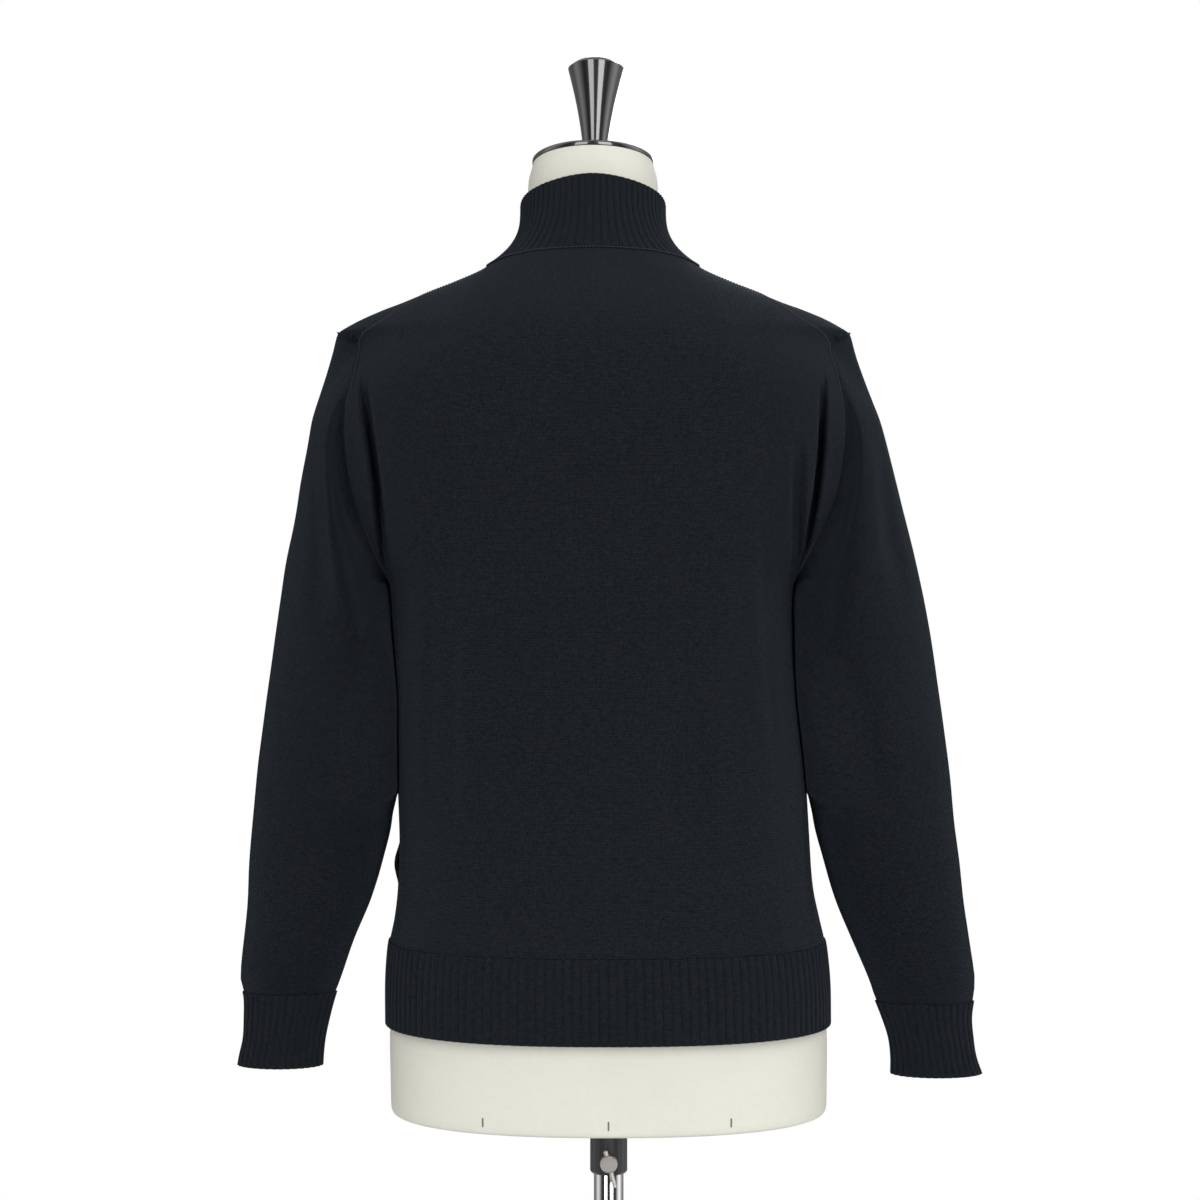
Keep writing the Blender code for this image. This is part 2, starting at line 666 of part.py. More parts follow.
def body_panels():
    """Grid and normals of the back and the two fronts, parted by the gap at their seams."""
    back = grid_of(half_panel(-1, "back")[:0:-1] + half_panel(1, "back"))
    left = grid_of(half_panel(1, "front")[::-1])
    right = grid_of(half_panel(-1, "front"))
    panels = {}
    for name, grid in (("back", back), ("front_left", left), ("front_right", right)):
        normals = normals_of(grid[..., :3])
        normals[:NECK_ROWS] = grid[:NECK_ROWS, :, 3:]
        panels[name] = [grid[..., :3], normals]
    below = len(SIDE_HEIGHTS) + 2
    shoulder = len(SHOULDER_COLUMNS) + 1
    seams = (
        ("front_left", np.s_[-below:, 0], np.s_[-below:, 1], np.s_[-below:, -1]),
        ("front_right", np.s_[-below:, -1], np.s_[-below:, -2], np.s_[-below:, 0]),
        ("front_left", np.s_[0, :shoulder], np.s_[1, :shoulder], np.s_[0, :-shoulder - 1:-1]),
        ("front_right", np.s_[0, -shoulder:], np.s_[1, -shoulder:], np.s_[0, shoulder - 1::-1]),
    )
    for name, own, beside, across in seams:
        grid, normals = panels[name]
        shared = unit(normals[own] + panels["back"][1][across])
        normals[own] = shared
        panels["back"][1][across] = shared
        grid[own] = step_off(grid[own], shared, grid[beside])
    return panels


def armhole(side):
    """The armhole's places in the panels: up the back from the armpit, and down the front."""
    front = "front_left" if side > 0 else "front_right"
    back_column, front_column = (-1, 0) if side > 0 else (0, -1)
    up = len(ARMHOLE_HEIGHTS_BACK)
    down = len(ARMHOLE_HEIGHTS_FRONT) + len(SHARES_OVER_RIDGE)
    return ([("back", row, back_column) for row in range(up, -1, -1)]
            + [(front, row, front_column) for row in range(1, down)]), (front, down, front_column)


# Sleeves and cuffs

def sleeve_point(share, turn, side):
    """A point of the plain sleeve; turn is 0 on the inner side, 0.25 at the back, 0.5 outside."""
    column = 0 if side > 0 else 1
    drop = (CUFF_SEAM[side] - RING_TABLE[-1][R_OUTER]) * share
    outer_z = read(RING_TABLE, R_OUTER, share) + drop
    inner_z = read(RING_TABLE, R_INNER, share) + drop
    inward = 0.5 + 0.5 * math.cos(2 * math.pi * turn)
    outer_x = read(SLEEVE_TABLE, S_OUTER + column, outer_z)
    inner_x = read(SLEEVE_TABLE, S_INNER + column, inner_z)
    sway = math.sin(2 * math.pi * turn)
    deep = read(RING_TABLE, R_BACK if sway > 0 else R_FRONT, share)
    return np.array((side * (outer_x + (inner_x - outer_x) * inward),
                     sway * deep, outer_z + (inner_z - outer_z) * inward))


def sleeve_fold(point, turn, side):
    """How far the sleeve's folds draw a point in."""
    total = 0.0
    for fold_side, turn_top, turn_bottom, top, bottom, half_width, deep in SLEEVE_FOLDS:
        if fold_side == side and bottom < point[2] < top:
            t = (top - point[2]) / (top - bottom)
            centre = turn_top + (turn_bottom - turn_top) * t
            total += deep * math.sin(math.pi * t) * hump((turn - centre) / half_width)
    return total


def sleeve_grid(seam, side):
    """Rings of the sleeve from the armhole to the cuff, which ease from the armhole's own shape."""
    count = len(seam)
    top_z, low_z = RING_TABLE[0][R_OUTER], RING_TABLE[0][R_INNER]
    highest = int(np.argmax(seam[:, 2]))
    turns = []
    for i, point in enumerate(seam):
        inward = min(max((top_z - point[2]) / (top_z - low_z), 0.0), 1.0)
        turn = math.acos(2 * inward - 1) / (2 * math.pi)
        turns.append(turn if i <= highest else 1 - turn)
    rings = []
    for share in SLEEVE_SHARES:
        ring = []
        for i, start in enumerate(turns):
            ease = smooth_step(share / 0.8)
            turn = start + (i / count - start) * ease
            own_shape = 1 - smooth_step(share / SHAPE_EASE)
            point = sleeve_point(share, turn, side)
            point += (seam[i] - sleeve_point(0.0, start, side)) * own_shape
            roll = math.sin(math.pi * min(1.0, share / ROLL_LENGTH) ** 0.65)
            point[0] += side * SLEEVE_ROLL * roll * abs(math.sin(2 * math.pi * turn))
            centre = 0.5 * (sleeve_point(share, 0.0, side) + sleeve_point(share, 0.5, side))
            inward = unit(centre[:2] - point[:2]) * sleeve_fold(point, turn, side)
            ring.append((point[0] + inward[0], point[1] + inward[1], point[2]))
        rings.append(ring)
    return np.array(rings)


def sleeve_shape(panels, side):
    """Grid and normals of a sleeve; its seam's normals are shared with the panels' armhole edges."""
    places, armpit = armhole(side)
    seam = np.array([panels[name][0][row, column] for name, row, column in places])
    grid = sleeve_grid(seam, side)
    if side < 0:
        grid = np.roll(grid[:, ::-1], 1, axis=1)
        places = places[:1] + places[:0:-1]
    normals = normals_of(grid, closed=True)
    for i, (name, row, column) in enumerate(places):
        shared = unit(normals[0, i] + panels[name][1][row, column])
        normals[0, i] = shared
        panels[name][1][row, column] = shared
        if row == 0:
            panels[armpit[0]][1][0, armpit[2]] = shared
        if name == "back" and row == len(ARMHOLE_HEIGHTS_BACK):
            panels[armpit[0]][1][armpit[1], armpit[2]] = shared
    looped = np.concatenate((grid[0][-1:], grid[0], grid[0][:1]))
    looped_normals = np.concatenate((normals[0][-1:], normals[0], normals[0][:1]))
    beside = np.concatenate((grid[1][-1:], grid[1], grid[1][:1]))
    grid[0] = step_off(looped, looped_normals, beside)[1:-1]
    return grid, normals


def build_cuff(top, top_normals, side, name, rib):
    """The cuff hangs from the sleeve's last ring and opens a little at its edge."""
    spans = 2 * CUFF_RIBS
    loop = np.hstack((np.vstack((top, top[:1])), np.vstack((top_normals, top_normals[:1]))))
    first = resample(loop, spans)[:-1]
    rows = [first[:, :3] - (0, 0, GAP)]
    column = 0 if side > 0 else 1
    turns = [side * i / FINE_STEPS for i in range(FINE_STEPS + 1)]
    for share, spread in CUFF_ROWS:
        z = CUFF_SEAM[side] + (CUFF_EDGE[side] - CUFF_SEAM[side]) * share
        outer_x = read(SLEEVE_TABLE, S_OUTER + column, z)
        inner_x = read(SLEEVE_TABLE, S_INNER + column, z)
        ring = []
        for turn in turns:
            sway = math.sin(2 * math.pi * turn) * side
            inward = 0.5 + 0.5 * math.cos(2 * math.pi * turn)
            deep = RING_TABLE[-1][R_BACK if sway * side > 0 else R_FRONT] * spread
            ring.append((side * (outer_x + (inner_x - outer_x) * inward), sway * side * deep, z))
        rows.append(resample(np.array(ring), spans)[:-1])
    grid = np.array(rows)
    normals = normals_of(grid, closed=True)
    normals[0] = unit(first[:, 3:])
    ribbed_wall(name, grid, normals, rib, ribs_per_inner=1, closed=True)


# Hem, collar, pockets and zip

def body_ring(z, side, face, steps=48):
    """A fine section of the body at a height, from the centre to the side seam."""
    start = 0.0 if face == "back" else column_u(ZIP_HALF, side, face)
    ring = []
    for u in np.linspace(start, 1.0, steps):
        x = lateral(u, z, side, face)
        out = depth(x, z, side, face)
        ring.append((side * x, out if face == "back" else -out, z))
    if face == "front":
        ring[0] = (side * ZIP_HALF, *ring[0][1:])
    return ring


def hem_grid(panel, face, side, ribs):
    """Unraised rows of one hem piece, the first on the panel's own lower edge."""
    grid, normals = panel
    spans = 2 * ribs
    top = resample(np.hstack((grid[-1], normals[-1])), spans)
    rows = [top[:, :3] - (0, 0, GAP)]
    for z in HEM_ROWS:
        if face == "back":
            ring = body_ring(z, -1, "back")[:0:-1] + body_ring(z, 1, "back")
        elif side > 0:
            ring = body_ring(z, 1, "front")[::-1]
        else:
            ring = body_ring(z, -1, "front")
        rows.append(resample(np.array(ring), spans))
    grid = np.array(rows)
    own = normals_of(grid)
    own[0] = unit(top[:, 3:])
    return [grid, own]


def build_hem(panels, rib):
    hems = {
        "hem_back": hem_grid(panels["back"], "back", 0, HEM_RIBS_BACK),
        "hem_front_left": hem_grid(panels["front_left"], "front", 1, HEM_RIBS_FRONT),
        "hem_front_right": hem_grid(panels["front_right"], "front", -1, HEM_RIBS_FRONT),
    }
    for name, column, across in (("hem_front_left", 0, -1), ("hem_front_right", -1, 0)):
        grid, normals = hems[name]
        shared = unit(normals[1:, column] + hems["hem_back"][1][1:, across])
        normals[1:, column] = shared
        hems["hem_back"][1][1:, across] = shared
        beside = 1 if column == 0 else -2
        grid[1:, column] = step_off(grid[1:, column], shared, grid[1:, beside])
    for name, (grid, normals) in hems.items():
        ribbed_wall(name, grid, normals, rib, ribs_per_inner=2)
    return hems


def collar_top():
    """The collar's upper edge from the right front edge round the back to the left front edge."""
    ring = []
    for share in np.linspace(0.0, 0.5, 40):
        ring.append([-read(COLLAR_TOP_TABLE, 1, share), read(COLLAR_TOP_TABLE, 2, share),
                     read(COLLAR_TOP_TABLE, 3, share)])
    ring = [point for point in ring if point[0] <= -ZIP_HALF or point[1] > 0]
    ring.insert(0, [-ZIP_HALF, ring[0][1], ring[0][2]])
    return np.array(ring + [[-x, y, z] for x, y, z in ring[-2::-1]])


def collar_grid(panels):
    back, left, right = panels["back"], panels["front_left"], panels["front_right"]
    neck = len(COLUMNS_FRONT) - len(SHOULDER_COLUMNS)
    across = len(SHOULDER_COLUMNS)
    pieces = []
    for part in (0, 1):
        pieces.append(np.concatenate((
            right[part][:2, :neck],
            0.5 * (right[part][:2, neck] + back[part][:2, across])[:, None],
            back[part][:2, across + 1:-across - 1],
            0.5 * (left[part][:2, -neck - 1] + back[part][:2, -across - 1])[:, None],
            left[part][:2, -neck:]), axis=1))
    (seam, below), (seam_normals, _) = pieces
    seam_normals = unit(seam_normals)
    base = step_off(seam, seam_normals, 2 * seam - below, 1.5 * GAP)
    spans = 2 * COLLAR_RIBS
    first = resample(np.hstack((base, seam_normals)), spans)
    top = resample(collar_top(), spans)
    rows = []
    for share in COLLAR_ROWS:
        drawn_in = 1 - (1 - share) ** COLLAR_FLARE
        level = first[:, :3] + (top - first[:, :3]) * share
        level[:, :2] = first[:, :2] + (top - first[:, :3])[:, :2] * drawn_in
        rows.append(level)
    grid = np.array(rows[::-1])
    normals = normals_of(grid)
    normals[-1] = unit(first[:, 3:])
    return [grid, normals]


def build_pocket(panels, side, name, paint):
    """A bag inside the side seam, on the back two columns and the front ones beside the seam."""
    front = panels["front_left" if side > 0 else "front_right"][0]
    back = panels["back"][0]
    rows = np.s_[-6:-1]
    if side > 0:
        strip = np.concatenate((back[rows, -3:-1], front[rows, 1:6]), axis=1)
    else:
        strip = np.concatenate((front[rows, -6:-1], back[rows, 1:3]), axis=1)
    normals = normals_of(strip)
    outer = strip - normals * (WALL + POCKET_SPACE)
    return wall(name, outer, outer - normals * POCKET_WALL, paint)


def zip_path(panels, hems, collar):
    """Inner and outer points of the left front edge from the collar's top to the hem, with the next
    inner point round the body at each level."""
    levels = []
    for (grid, normals), thick, step in ((collar, RIB_WALL, 2), (panels["front_left"], WALL, 1),
                                         (hems["hem_front_left"], RIB_WALL, 2)):
        for k in range(grid.shape[0]):
            edge, beside = grid[k, -1], grid[k, -1 - step]
            levels.append((edge, edge - normals[k, -1] * thick,
                           beside - normals[k, -1 - step] * thick, normals[k, -1]))
    return levels


def build_zip(panels, hems, collar):
    cotton = material("zip_tape", NAVY, 0.8)
    teeth = material("zip_metal", (0.05, 0.05, 0.055), 0.35, 0.9)
    levels = [(edge, inner, beside, unit(normal * (0, 1, 1)))
              for edge, inner, beside, normal in zip_path(panels, hems, collar)]
    for side, name in ((1, "zip_tape_left"), (-1, "zip_tape_right")):
        near, far = [], []
        for edge, inner, beside, normal in levels:
            step = (beside - inner) / (beside[0] - inner[0])
            behind = normal * GAP
            near.append(inner + step * (TAPE_NEAR - inner[0]) - behind)
            far.append(inner + step * (TAPE_NEAR + TAPE_WIDTH - inner[0]) - behind)
        face = np.array((far, near)).transpose(1, 0, 2)
        normals = np.array([[level[3]] * 2 for level in levels])
        if side < 0:
            face = (face * (-1, 1, 1))[:, ::-1]
            normals = normals * (-1, 1, 1)
        wall(name, face, face - normals * TAPE_THICKNESS, cotton)
    spine = np.array([level[0] for level in levels]) * (0, 1, 1)
    out = np.array([level[3] for level in levels])
    face = spine - out * CHAIN_SINK
    strip = np.stack([face + (x, 0, 0) for x in (CHAIN_HALF, -CHAIN_HALF)], axis=1)
    strip_normals = np.stack((out, out), axis=1)
    wall("zip_chain", strip, strip - strip_normals * CHAIN_THICKNESS, teeth)
    return spine, out, teeth


def place_flat(name, mesh, paint, location, tilt=0.0):
    """An object with its own origin, tilted about X; location in the garment's millimetres."""
    thing = bpy.data.objects.new(name, mesh)
    thing.data.materials.append(paint)
    collection().objects.link(thing)
    thing.location = place(*location)
    thing.rotation_euler = (math.radians(tilt), 0, 0)
    return thing


def outline_mesh(name, outlines, thickness):
    """A flat outline in the XZ plane, with any holes, extruded to a thickness along Y."""
    curve = bpy.data.curves.new(name, "CURVE")
    curve.dimensions = "2D"
    curve.fill_mode = "BOTH"
    curve.extrude = thickness * MM / 2
    for outline in outlines:
        spline = curve.splines.new("POLY")
        spline.points.add(len(outline) - 1)
        for point, (x, z) in zip(spline.points, outline):
            point.co = (x * MM, z * MM, 0, 1)
        spline.use_cyclic_u = True
    holder = bpy.data.objects.new(name + "_outline", curve)
    collection().objects.link(holder)
    shape = bpy.data.meshes.new_from_object(holder.evaluated_get(bpy.context.evaluated_depsgraph_get()))
    bpy.data.objects.remove(holder, do_unlink=True)
    shape.transform(Matrix.Rotation(math.radians(90), 4, "X"))
    shell = bmesh.new()
    shell.from_mesh(shape)
    bmesh.ops.remove_doubles(shell, verts=shell.verts, dist=1e-6)
    bmesh.ops.recalc_face_normals(shell, faces=shell.faces)
    shell.to_mesh(shape)
    shell.free()
    return shape


def rounded(width, low, high, radius, steps=3):
    """A rectangle with round corners, centred on x = 0."""
    points = []
    corners = ((1, low, -90), (1, high, 0), (-1, high, 90), (-1, low, 180))
    for sign, z, start in corners:
        cx = sign * (width / 2 - radius)
        cz = z + radius if z == low else z - radius
        for i in range(steps + 1):
            turn = math.radians(start + 90 * i / steps)
            points.append((cx + radius * math.cos(turn), cz + radius * math.sin(turn)))
    return points


def box_mesh(name, size, centre):
    mesh = bpy.data.meshes.new(name)
    solid = bmesh.new()
    bmesh.ops.create_cube(solid, size=1.0)
    for vertex in solid.verts:
        vertex.co = Vector([(vertex.co[i] * size[i] + centre[i]) * MM for i in range(3)])
    solid.to_mesh(mesh)
    solid.free()
    return mesh


def join_solids(thing, other):
    """Unites another object into this one."""
    union = thing.modifiers.new("union", "BOOLEAN")
    union.operation = "UNION"
    union.object = other
    hide_cutter(other)


def hide_cutter(cutter):
    group = bpy.data.collections.get("cutters") or bpy.data.collections.new("cutters")
    if group.name not in bpy.context.scene.collection.children:
        bpy.context.scene.collection.children.link(group)
    for owner in list(cutter.users_collection):
        owner.objects.unlink(cutter)
    group.objects.link(cutter)
    cutter.hide_render = True
    cutter.display_type = "WIRE"


def build_zip_hardware(spine, out, metal):
    """The slider at the top of the zip with its pull tab, and the box at the foot of the zip."""
    top = spine[0]
    middle = top + (spine[1] - top) * (SLIDER_DROP / np.linalg.norm(spine[1] - top))
    down = spine[1] - top
    tilt = math.degrees(math.atan2(-down[1], -down[2]))
    spin = Matrix.Rotation(math.radians(-tilt), 3, "X")
    face = middle + np.array(spin @ Vector((0, -1, 0))) * (GAP + SLIDER_THICKNESS / 2)
    body = place_flat("zip_slider", box_mesh("zip_slider", (2 * SLIDER_HALF, SLIDER_THICKNESS,
                                                           SLIDER_LENGTH), (0, 0, 0)), metal,
                      face, -tilt)
    bevel = body.modifiers.new("edges", "BEVEL")
    bevel.width = 0.6 * MM
    bevel.segments = 1
    post = BRIDGE_LENGTH / 2
    shoulder, span = BRIDGE_RISE - BRIDGE_CORNER, post - BRIDGE_WIRE
    arch = [(-post, -BRIDGE_FOOT), (-post, shoulder), (BRIDGE_CORNER - post, BRIDGE_RISE),
            (post - BRIDGE_CORNER, BRIDGE_RISE), (post, shoulder), (post, -BRIDGE_FOOT),
            (span, -BRIDGE_FOOT), (span, BRIDGE_RISE - BRIDGE_WIRE),
            (-span, BRIDGE_RISE - BRIDGE_WIRE), (-span, -BRIDGE_FOOT)]
    shape = outline_mesh("zip_bridge", [arch], BRIDGE_WIDTH)
    shape.transform(Matrix.Rotation(math.radians(90), 4, "Z") @ Matrix.Rotation(math.radians(-90), 4, "Y"))
    bridge = place_flat("zip_bridge", shape, metal, face, -tilt)
    offset = spin @ Vector((0, -SLIDER_THICKNESS / 2 * MM, 0))
    bridge.location = bridge.location + offset
    join_solids(body, bridge)
    window = rounded(TAB_WINDOW, -TAB_BAR / 2 - TAB_WINDOW_LENGTH, -TAB_BAR / 2, 0.5, 2)
    tab_shape = outline_mesh("zip_tab", [rounded(TAB_WIDTH, -TAB_LENGTH, TAB_BAR / 2, 0.55, 3), window],
                             TAB_THICKNESS)
    tab = place_flat("zip_tab", tab_shape, metal, face, -tilt)
    hinge = spin @ Vector((0, -(SLIDER_THICKNESS / 2 + TAB_STAND) * MM, -TAB_DROP * MM))
    tab.location = tab.location + hinge
    foot = spine[-1]
    box = box_mesh("zip_box", BOX_SIZE, (0, 0, BOX_SIZE[2] / 2))
    place_flat("zip_box", box, metal, foot + out[-1] * (GAP + BOX_SIZE[1] / 2 - CHAIN_SINK) + (0, 0, 0.4))


# Dress form and stand

def turned(name, profile, paint, steps, location, parent=None):
    """A turned piece from a profile of radius and height that runs down its outer side."""
    mesh = bpy.data.meshes.new(name)
    closed = profile[0] == profile[-1]
    points = profile[:-1] if closed else profile
    edges = [(i, i + 1) for i in range(len(points) - 1)]
    if closed:
        edges.append((len(points) - 1, 0))
    mesh.from_pydata([(radius * MM, 0, z * MM) for radius, z in points], edges, [])
    thing = bpy.data.objects.new(name, mesh)
    thing.data.materials.append(paint)
    collection().objects.link(thing)
    screw = thing.modifiers.new("turn", "SCREW")
    screw.steps = steps
    screw.render_steps = steps
    screw.use_merge_vertices = True
    screw.merge_threshold = 1e-5
    thing.location = location
    thing.parent = parent
    return thing


def build_form():
    linen = material("form_linen", LINEN, 0.9)
    turns = [2 * math.pi * i / FORM_COLUMNS for i in range(FORM_COLUMNS)]
    vertices, faces = [], []
    for z, half, back, front, roundness in FORM_TABLE:
        slope = math.tan(math.radians(NECK_TILT)) * smooth_step((z - NECK_BEND) / (NECK_TOP - NECK_BEND))
        for turn in turns:
            sine, cosine = math.sin(turn), math.cos(turn)
            x = math.copysign(abs(sine) ** (2 / roundness), sine) * half
            y = math.copysign(abs(cosine) ** (2 / roundness), cosine) * (back if cosine > 0 else front)
            vertices.append((x, y, z + y * slope))
    rings = len(FORM_TABLE)
    for k in range(rings - 1):
        for j in range(FORM_COLUMNS):
            after = (j + 1) % FORM_COLUMNS
            faces.append((k * FORM_COLUMNS + j, k * FORM_COLUMNS + after,
                          (k + 1) * FORM_COLUMNS + after, (k + 1) * FORM_COLUMNS + j))
    faces.append(tuple(range(FORM_COLUMNS)))
    faces.append(tuple((rings - 1) * FORM_COLUMNS + j for j in reversed(range(FORM_COLUMNS))))
    form = new_object("form", vertices, faces, linen)
    bore = turned("form_bore", [(0, BORE_TOP), (BORE_RADIUS, BORE_TOP), (BORE_RADIUS, FORM_BOTTOM - 20),
                                (0, FORM_BOTTOM - 20)], linen, 24, (0, 0, 0))
    hide_cutter(bore)
    cut = form.modifiers.new("bore", "BOOLEAN")
    cut.operation = "DIFFERENCE"
    cut.object = bore


def build_neck():
    black = material("black_lacquer", BLACK, 0.25)
    axis = bpy.data.objects.new("neck_axis", None)
    collection().objects.link(axis)
    axis.location = place(0, 0, NECK_TOP)
    axis.rotation_euler = (math.radians(NECK_TILT), 0, 0)
    edge = CAP_THICKNESS + GAP
    cap = [(0, edge + CAP_DOME), (KNOB_FOOT, edge + CAP_DOME), (26, edge + 0.75 * CAP_DOME),
           (42, edge + 0.3 * CAP_DOME), (CAP_RADIUS - 2, edge), (CAP_RADIUS, edge - 1.6),
           (CAP_RADIUS, GAP + 1.2), (CAP_RADIUS - 1.4, GAP), (0, GAP)]
    turned("neck_cap", cap, black, 28, (0, 0, 0), axis)
    foot = edge + CAP_DOME + GAP
    knob = [(radius, foot + z) for z, radius in reversed(KNOB_PROFILE)] + [(0, foot)]
    turned("knob", knob, black, 20, (0, 0, 0), axis)


def build_stand():
    chrome = material("chrome", STEEL, 0.12, 1.0)
    steel = material("dull_steel", STEEL, 0.4, 1.0)
    black = material("black_enamel", BLACK, 0.45)
    floor_edge = [(0, BASE_THICKNESS), (BASE_RADIUS - 3, BASE_THICKNESS),
                  (BASE_RADIUS, BASE_THICKNESS - 2.5), (BASE_RADIUS, 1.0), (BASE_RADIUS - 1.0, 0), (0, 0)]
    turned("base", floor_edge, black, 40, (0, 0, 0))
    bore = POLE_RADIUS + GAP
    low = BASE_THICKNESS + GAP
    boss = [(bore, BOSS_TOP), (BOSS_RADIUS - 5, BOSS_TOP), (BOSS_RADIUS - 3.5, BOSS_TOP - 2),
            (BOSS_RADIUS - 3, 16), (BOSS_RADIUS + 8, 11), (BOSS_RADIUS + 9, low), (bore, low),
            (bore, BOSS_TOP)]
    turned("boss", boss, black, 20, (0, 0, 0))
    pole = [(0, POLE_TOP), (POLE_RADIUS - 1.5, POLE_TOP), (POLE_RADIUS, POLE_TOP - 1.5),
            (POLE_RADIUS, low + 1), (POLE_RADIUS - 1, low), (0, low)]
    turned("pole", pole, chrome, 24, (0, 0, 0))
    top = FORM_BOTTOM - GAP
    bottom = FORM_BOTTOM - SOCKET_LENGTH
    socket_profile = [(BORE_RADIUS, top), (SOCKET_RADIUS, top), (SOCKET_RADIUS, bottom + 1.5),
                      (SOCKET_RADIUS - 1.2, bottom), (BORE_RADIUS, bottom), (BORE_RADIUS, top)]
    socket = turned("socket", socket_profile, black, 24, (0, 0, 0))
    build_clamp(socket, steel)


def build_clamp(socket, steel):
    """The screw through the socket's wall, with a bar that slides through its head."""
    height = (FORM_BOTTOM - SCREW_DROP) * MM
    near, far = SCREW_HEAD
    tip = POLE_RADIUS + GAP
    profile = [(0, far), (SCREW_HEAD_RADIUS - 0.8, far), (SCREW_HEAD_RADIUS, far - 0.8),
               (SCREW_HEAD_RADIUS, near), (SCREW_SHANK_RADIUS, near), (SCREW_SHANK_RADIUS, tip), (0, tip)]
    screw = turned("clamp_screw", profile, steel, 20, (0, 0, height))
    screw.rotation_euler = (math.radians(-90), 0, 0)
    hole = turned("socket_hole", [(0, far), (SCREW_SHANK_RADIUS + GAP, far),
                                  (SCREW_SHANK_RADIUS + GAP, tip - 2), (0, tip - 2)], steel, 16,
                  (0, 0, height))
    hole.rotation_euler = (math.radians(-90), 0, 0)
    hide_cutter(hole)
    cut = socket.modifiers.new("screw_hole", "BOOLEAN")
    cut.operation = "DIFFERENCE"
    cut.object = hole
    middle = Vector((0, 0.5 * (near + far) * MM, height))
    tilt = math.radians(BAR_TILT)
    reach = BAR_LENGTH / 2
    bar_profile = [(0, reach), (BAR_RADIUS - 0.5, reach), (BAR_RADIUS, reach - 0.5),
                   (BAR_RADIUS, 0.5 - reach), (BAR_RADIUS - 0.5, -reach), (0, -reach)]
    along = Vector((math.sin(tilt), 0, math.cos(tilt)))
    bar = turned("clamp_bar", bar_profile, steel, 12, middle + along * BAR_OFFSET * MM)
    bar.rotation_euler = (0, tilt, 0)
    slot = turned("bar_hole", [(0, reach), (BAR_RADIUS + GAP, reach), (BAR_RADIUS + GAP, -reach),
                               (0, -reach)], steel, 12, middle)
    slot.rotation_euler = (0, tilt, 0)
    hide_cutter(slot)
    cut = screw.modifiers.new("bar_hole", "BOOLEAN")
    cut.operation = "DIFFERENCE"
    cut.object = slot


def build_cloth():
    jersey = material("navy_jersey", NAVY, 0.85)
    rib = material("navy_rib", NAVY_RIB, 0.85)
    panels = body_panels()
    for side, name in ((1, "left"), (-1, "right")):
        grid, normals = sleeve_shape(panels, side)
        plain_wall("sleeve_" + name, grid, normals, jersey, closed=True)
        build_cuff(grid[-1], normals[-1], side, "cuff_" + name, rib)
    for name, (grid, normals) in panels.items():
        plain_wall(name, grid, normals, jersey)
    hems = build_hem(panels, rib)
    collar = collar_grid(panels)
    ribbed_wall("collar", *collar, rib, ribs_per_inner=2, lift=COLLAR_LIFT)
    build_pocket(panels, 1, "pocket_left", jersey)
    build_pocket(panels, -1, "pocket_right", jersey)
    spine, out, metal = build_zip(panels, hems, collar)
    build_zip_hardware(spine, out, metal)


clear_scene()
build_cloth()
build_form()
build_neck()
build_stand()
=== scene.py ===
"""Looks of a knitted zip cardigan with a rib stand collar, worn by a limbless dress form on a pole stand.

The cloth is built from the same named sizes as the solids, on a fine grid, with its ribs, seams and
folds. Garment sizes are tabled in millimetres, with heights above the underside of the dress form, and
x measured from the leaning centre line of the torso.
"""
import math
from bisect import bisect_right
from functools import lru_cache

import bmesh
import bpy
import numpy as np
from mathutils import Matrix, Vector, noise


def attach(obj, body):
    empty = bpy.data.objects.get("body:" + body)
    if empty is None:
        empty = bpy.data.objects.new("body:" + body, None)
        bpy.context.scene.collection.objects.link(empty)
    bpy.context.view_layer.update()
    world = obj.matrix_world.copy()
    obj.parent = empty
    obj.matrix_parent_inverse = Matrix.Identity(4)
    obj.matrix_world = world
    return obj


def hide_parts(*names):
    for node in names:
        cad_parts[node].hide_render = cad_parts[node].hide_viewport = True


MM = 0.001
GAP = 0.3  # gap between neighbouring pieces
FORM_BOTTOM = 400.0  # underside of the dress form above the floor
LEAN = 13.3  # the torso leans this far to the wearer's left by a height of
LEAN_HEIGHT = 680.0
SMOOTH_ANGLE = 50.0  # in degrees; sharper edges show as edges
TURN = 2 * math.pi

# Knit
WALL = 2.4  # body and sleeve cloth
RIB_WALL = 1.7  # rib cloth in a groove
RIB_RISE = 1.45  # a rib above its grooves
RIB_ROUND = 3.2  # a higher power gives rounder ribs and narrower grooves
CUFF_SEAM = {1: 96.0, -1: 88.0}  # on the left, 1, and on the right, -1
CUFF_EDGE = {1: 33.5, -1: 26.0}
HEM_SEAM = 141.0
HEM_EDGE = 72.0
HEM_RIBS_BACK = 72
HEM_RIBS_FRONT = 36
CUFF_RIBS = 32
COLLAR_RIBS = 76
ZIP_HALF = 4.5  # each front edge from the centre line
POCKET_MOUTH = (181.0, 228.0)  # heights between which it gapes, by
POCKET_GAPE = 5.0
LIP_START = 0.8  # share of the front's width at which the pocket's lip starts to lift
LIP_FORWARD = 0.6  # the lip moves this share of its way out also forward

# The torso's section is rounded by this power; 2 would be an ellipse
SECTION = 2.4
RIDGE_Y = -3.0  # the shoulder's ridge lies a little forward
RIDGE_FADE = 90.0  # height below the ridge over which its shift forward dies out
RIDGE_LEVEL = 655.0  # height of the shoulder's outer end, where columns are told apart
ARMPIT_Z = 441.0
NECK_POINT = 90.0  # half width of the neck seam
SPREAD_LESS = 20.0  # in degrees; above the armpit the columns spread this much less, over a height of
SPREAD_HEIGHT = 80.0
EDGE_POWER = 8  # a higher power lets only columns close to the armhole follow it

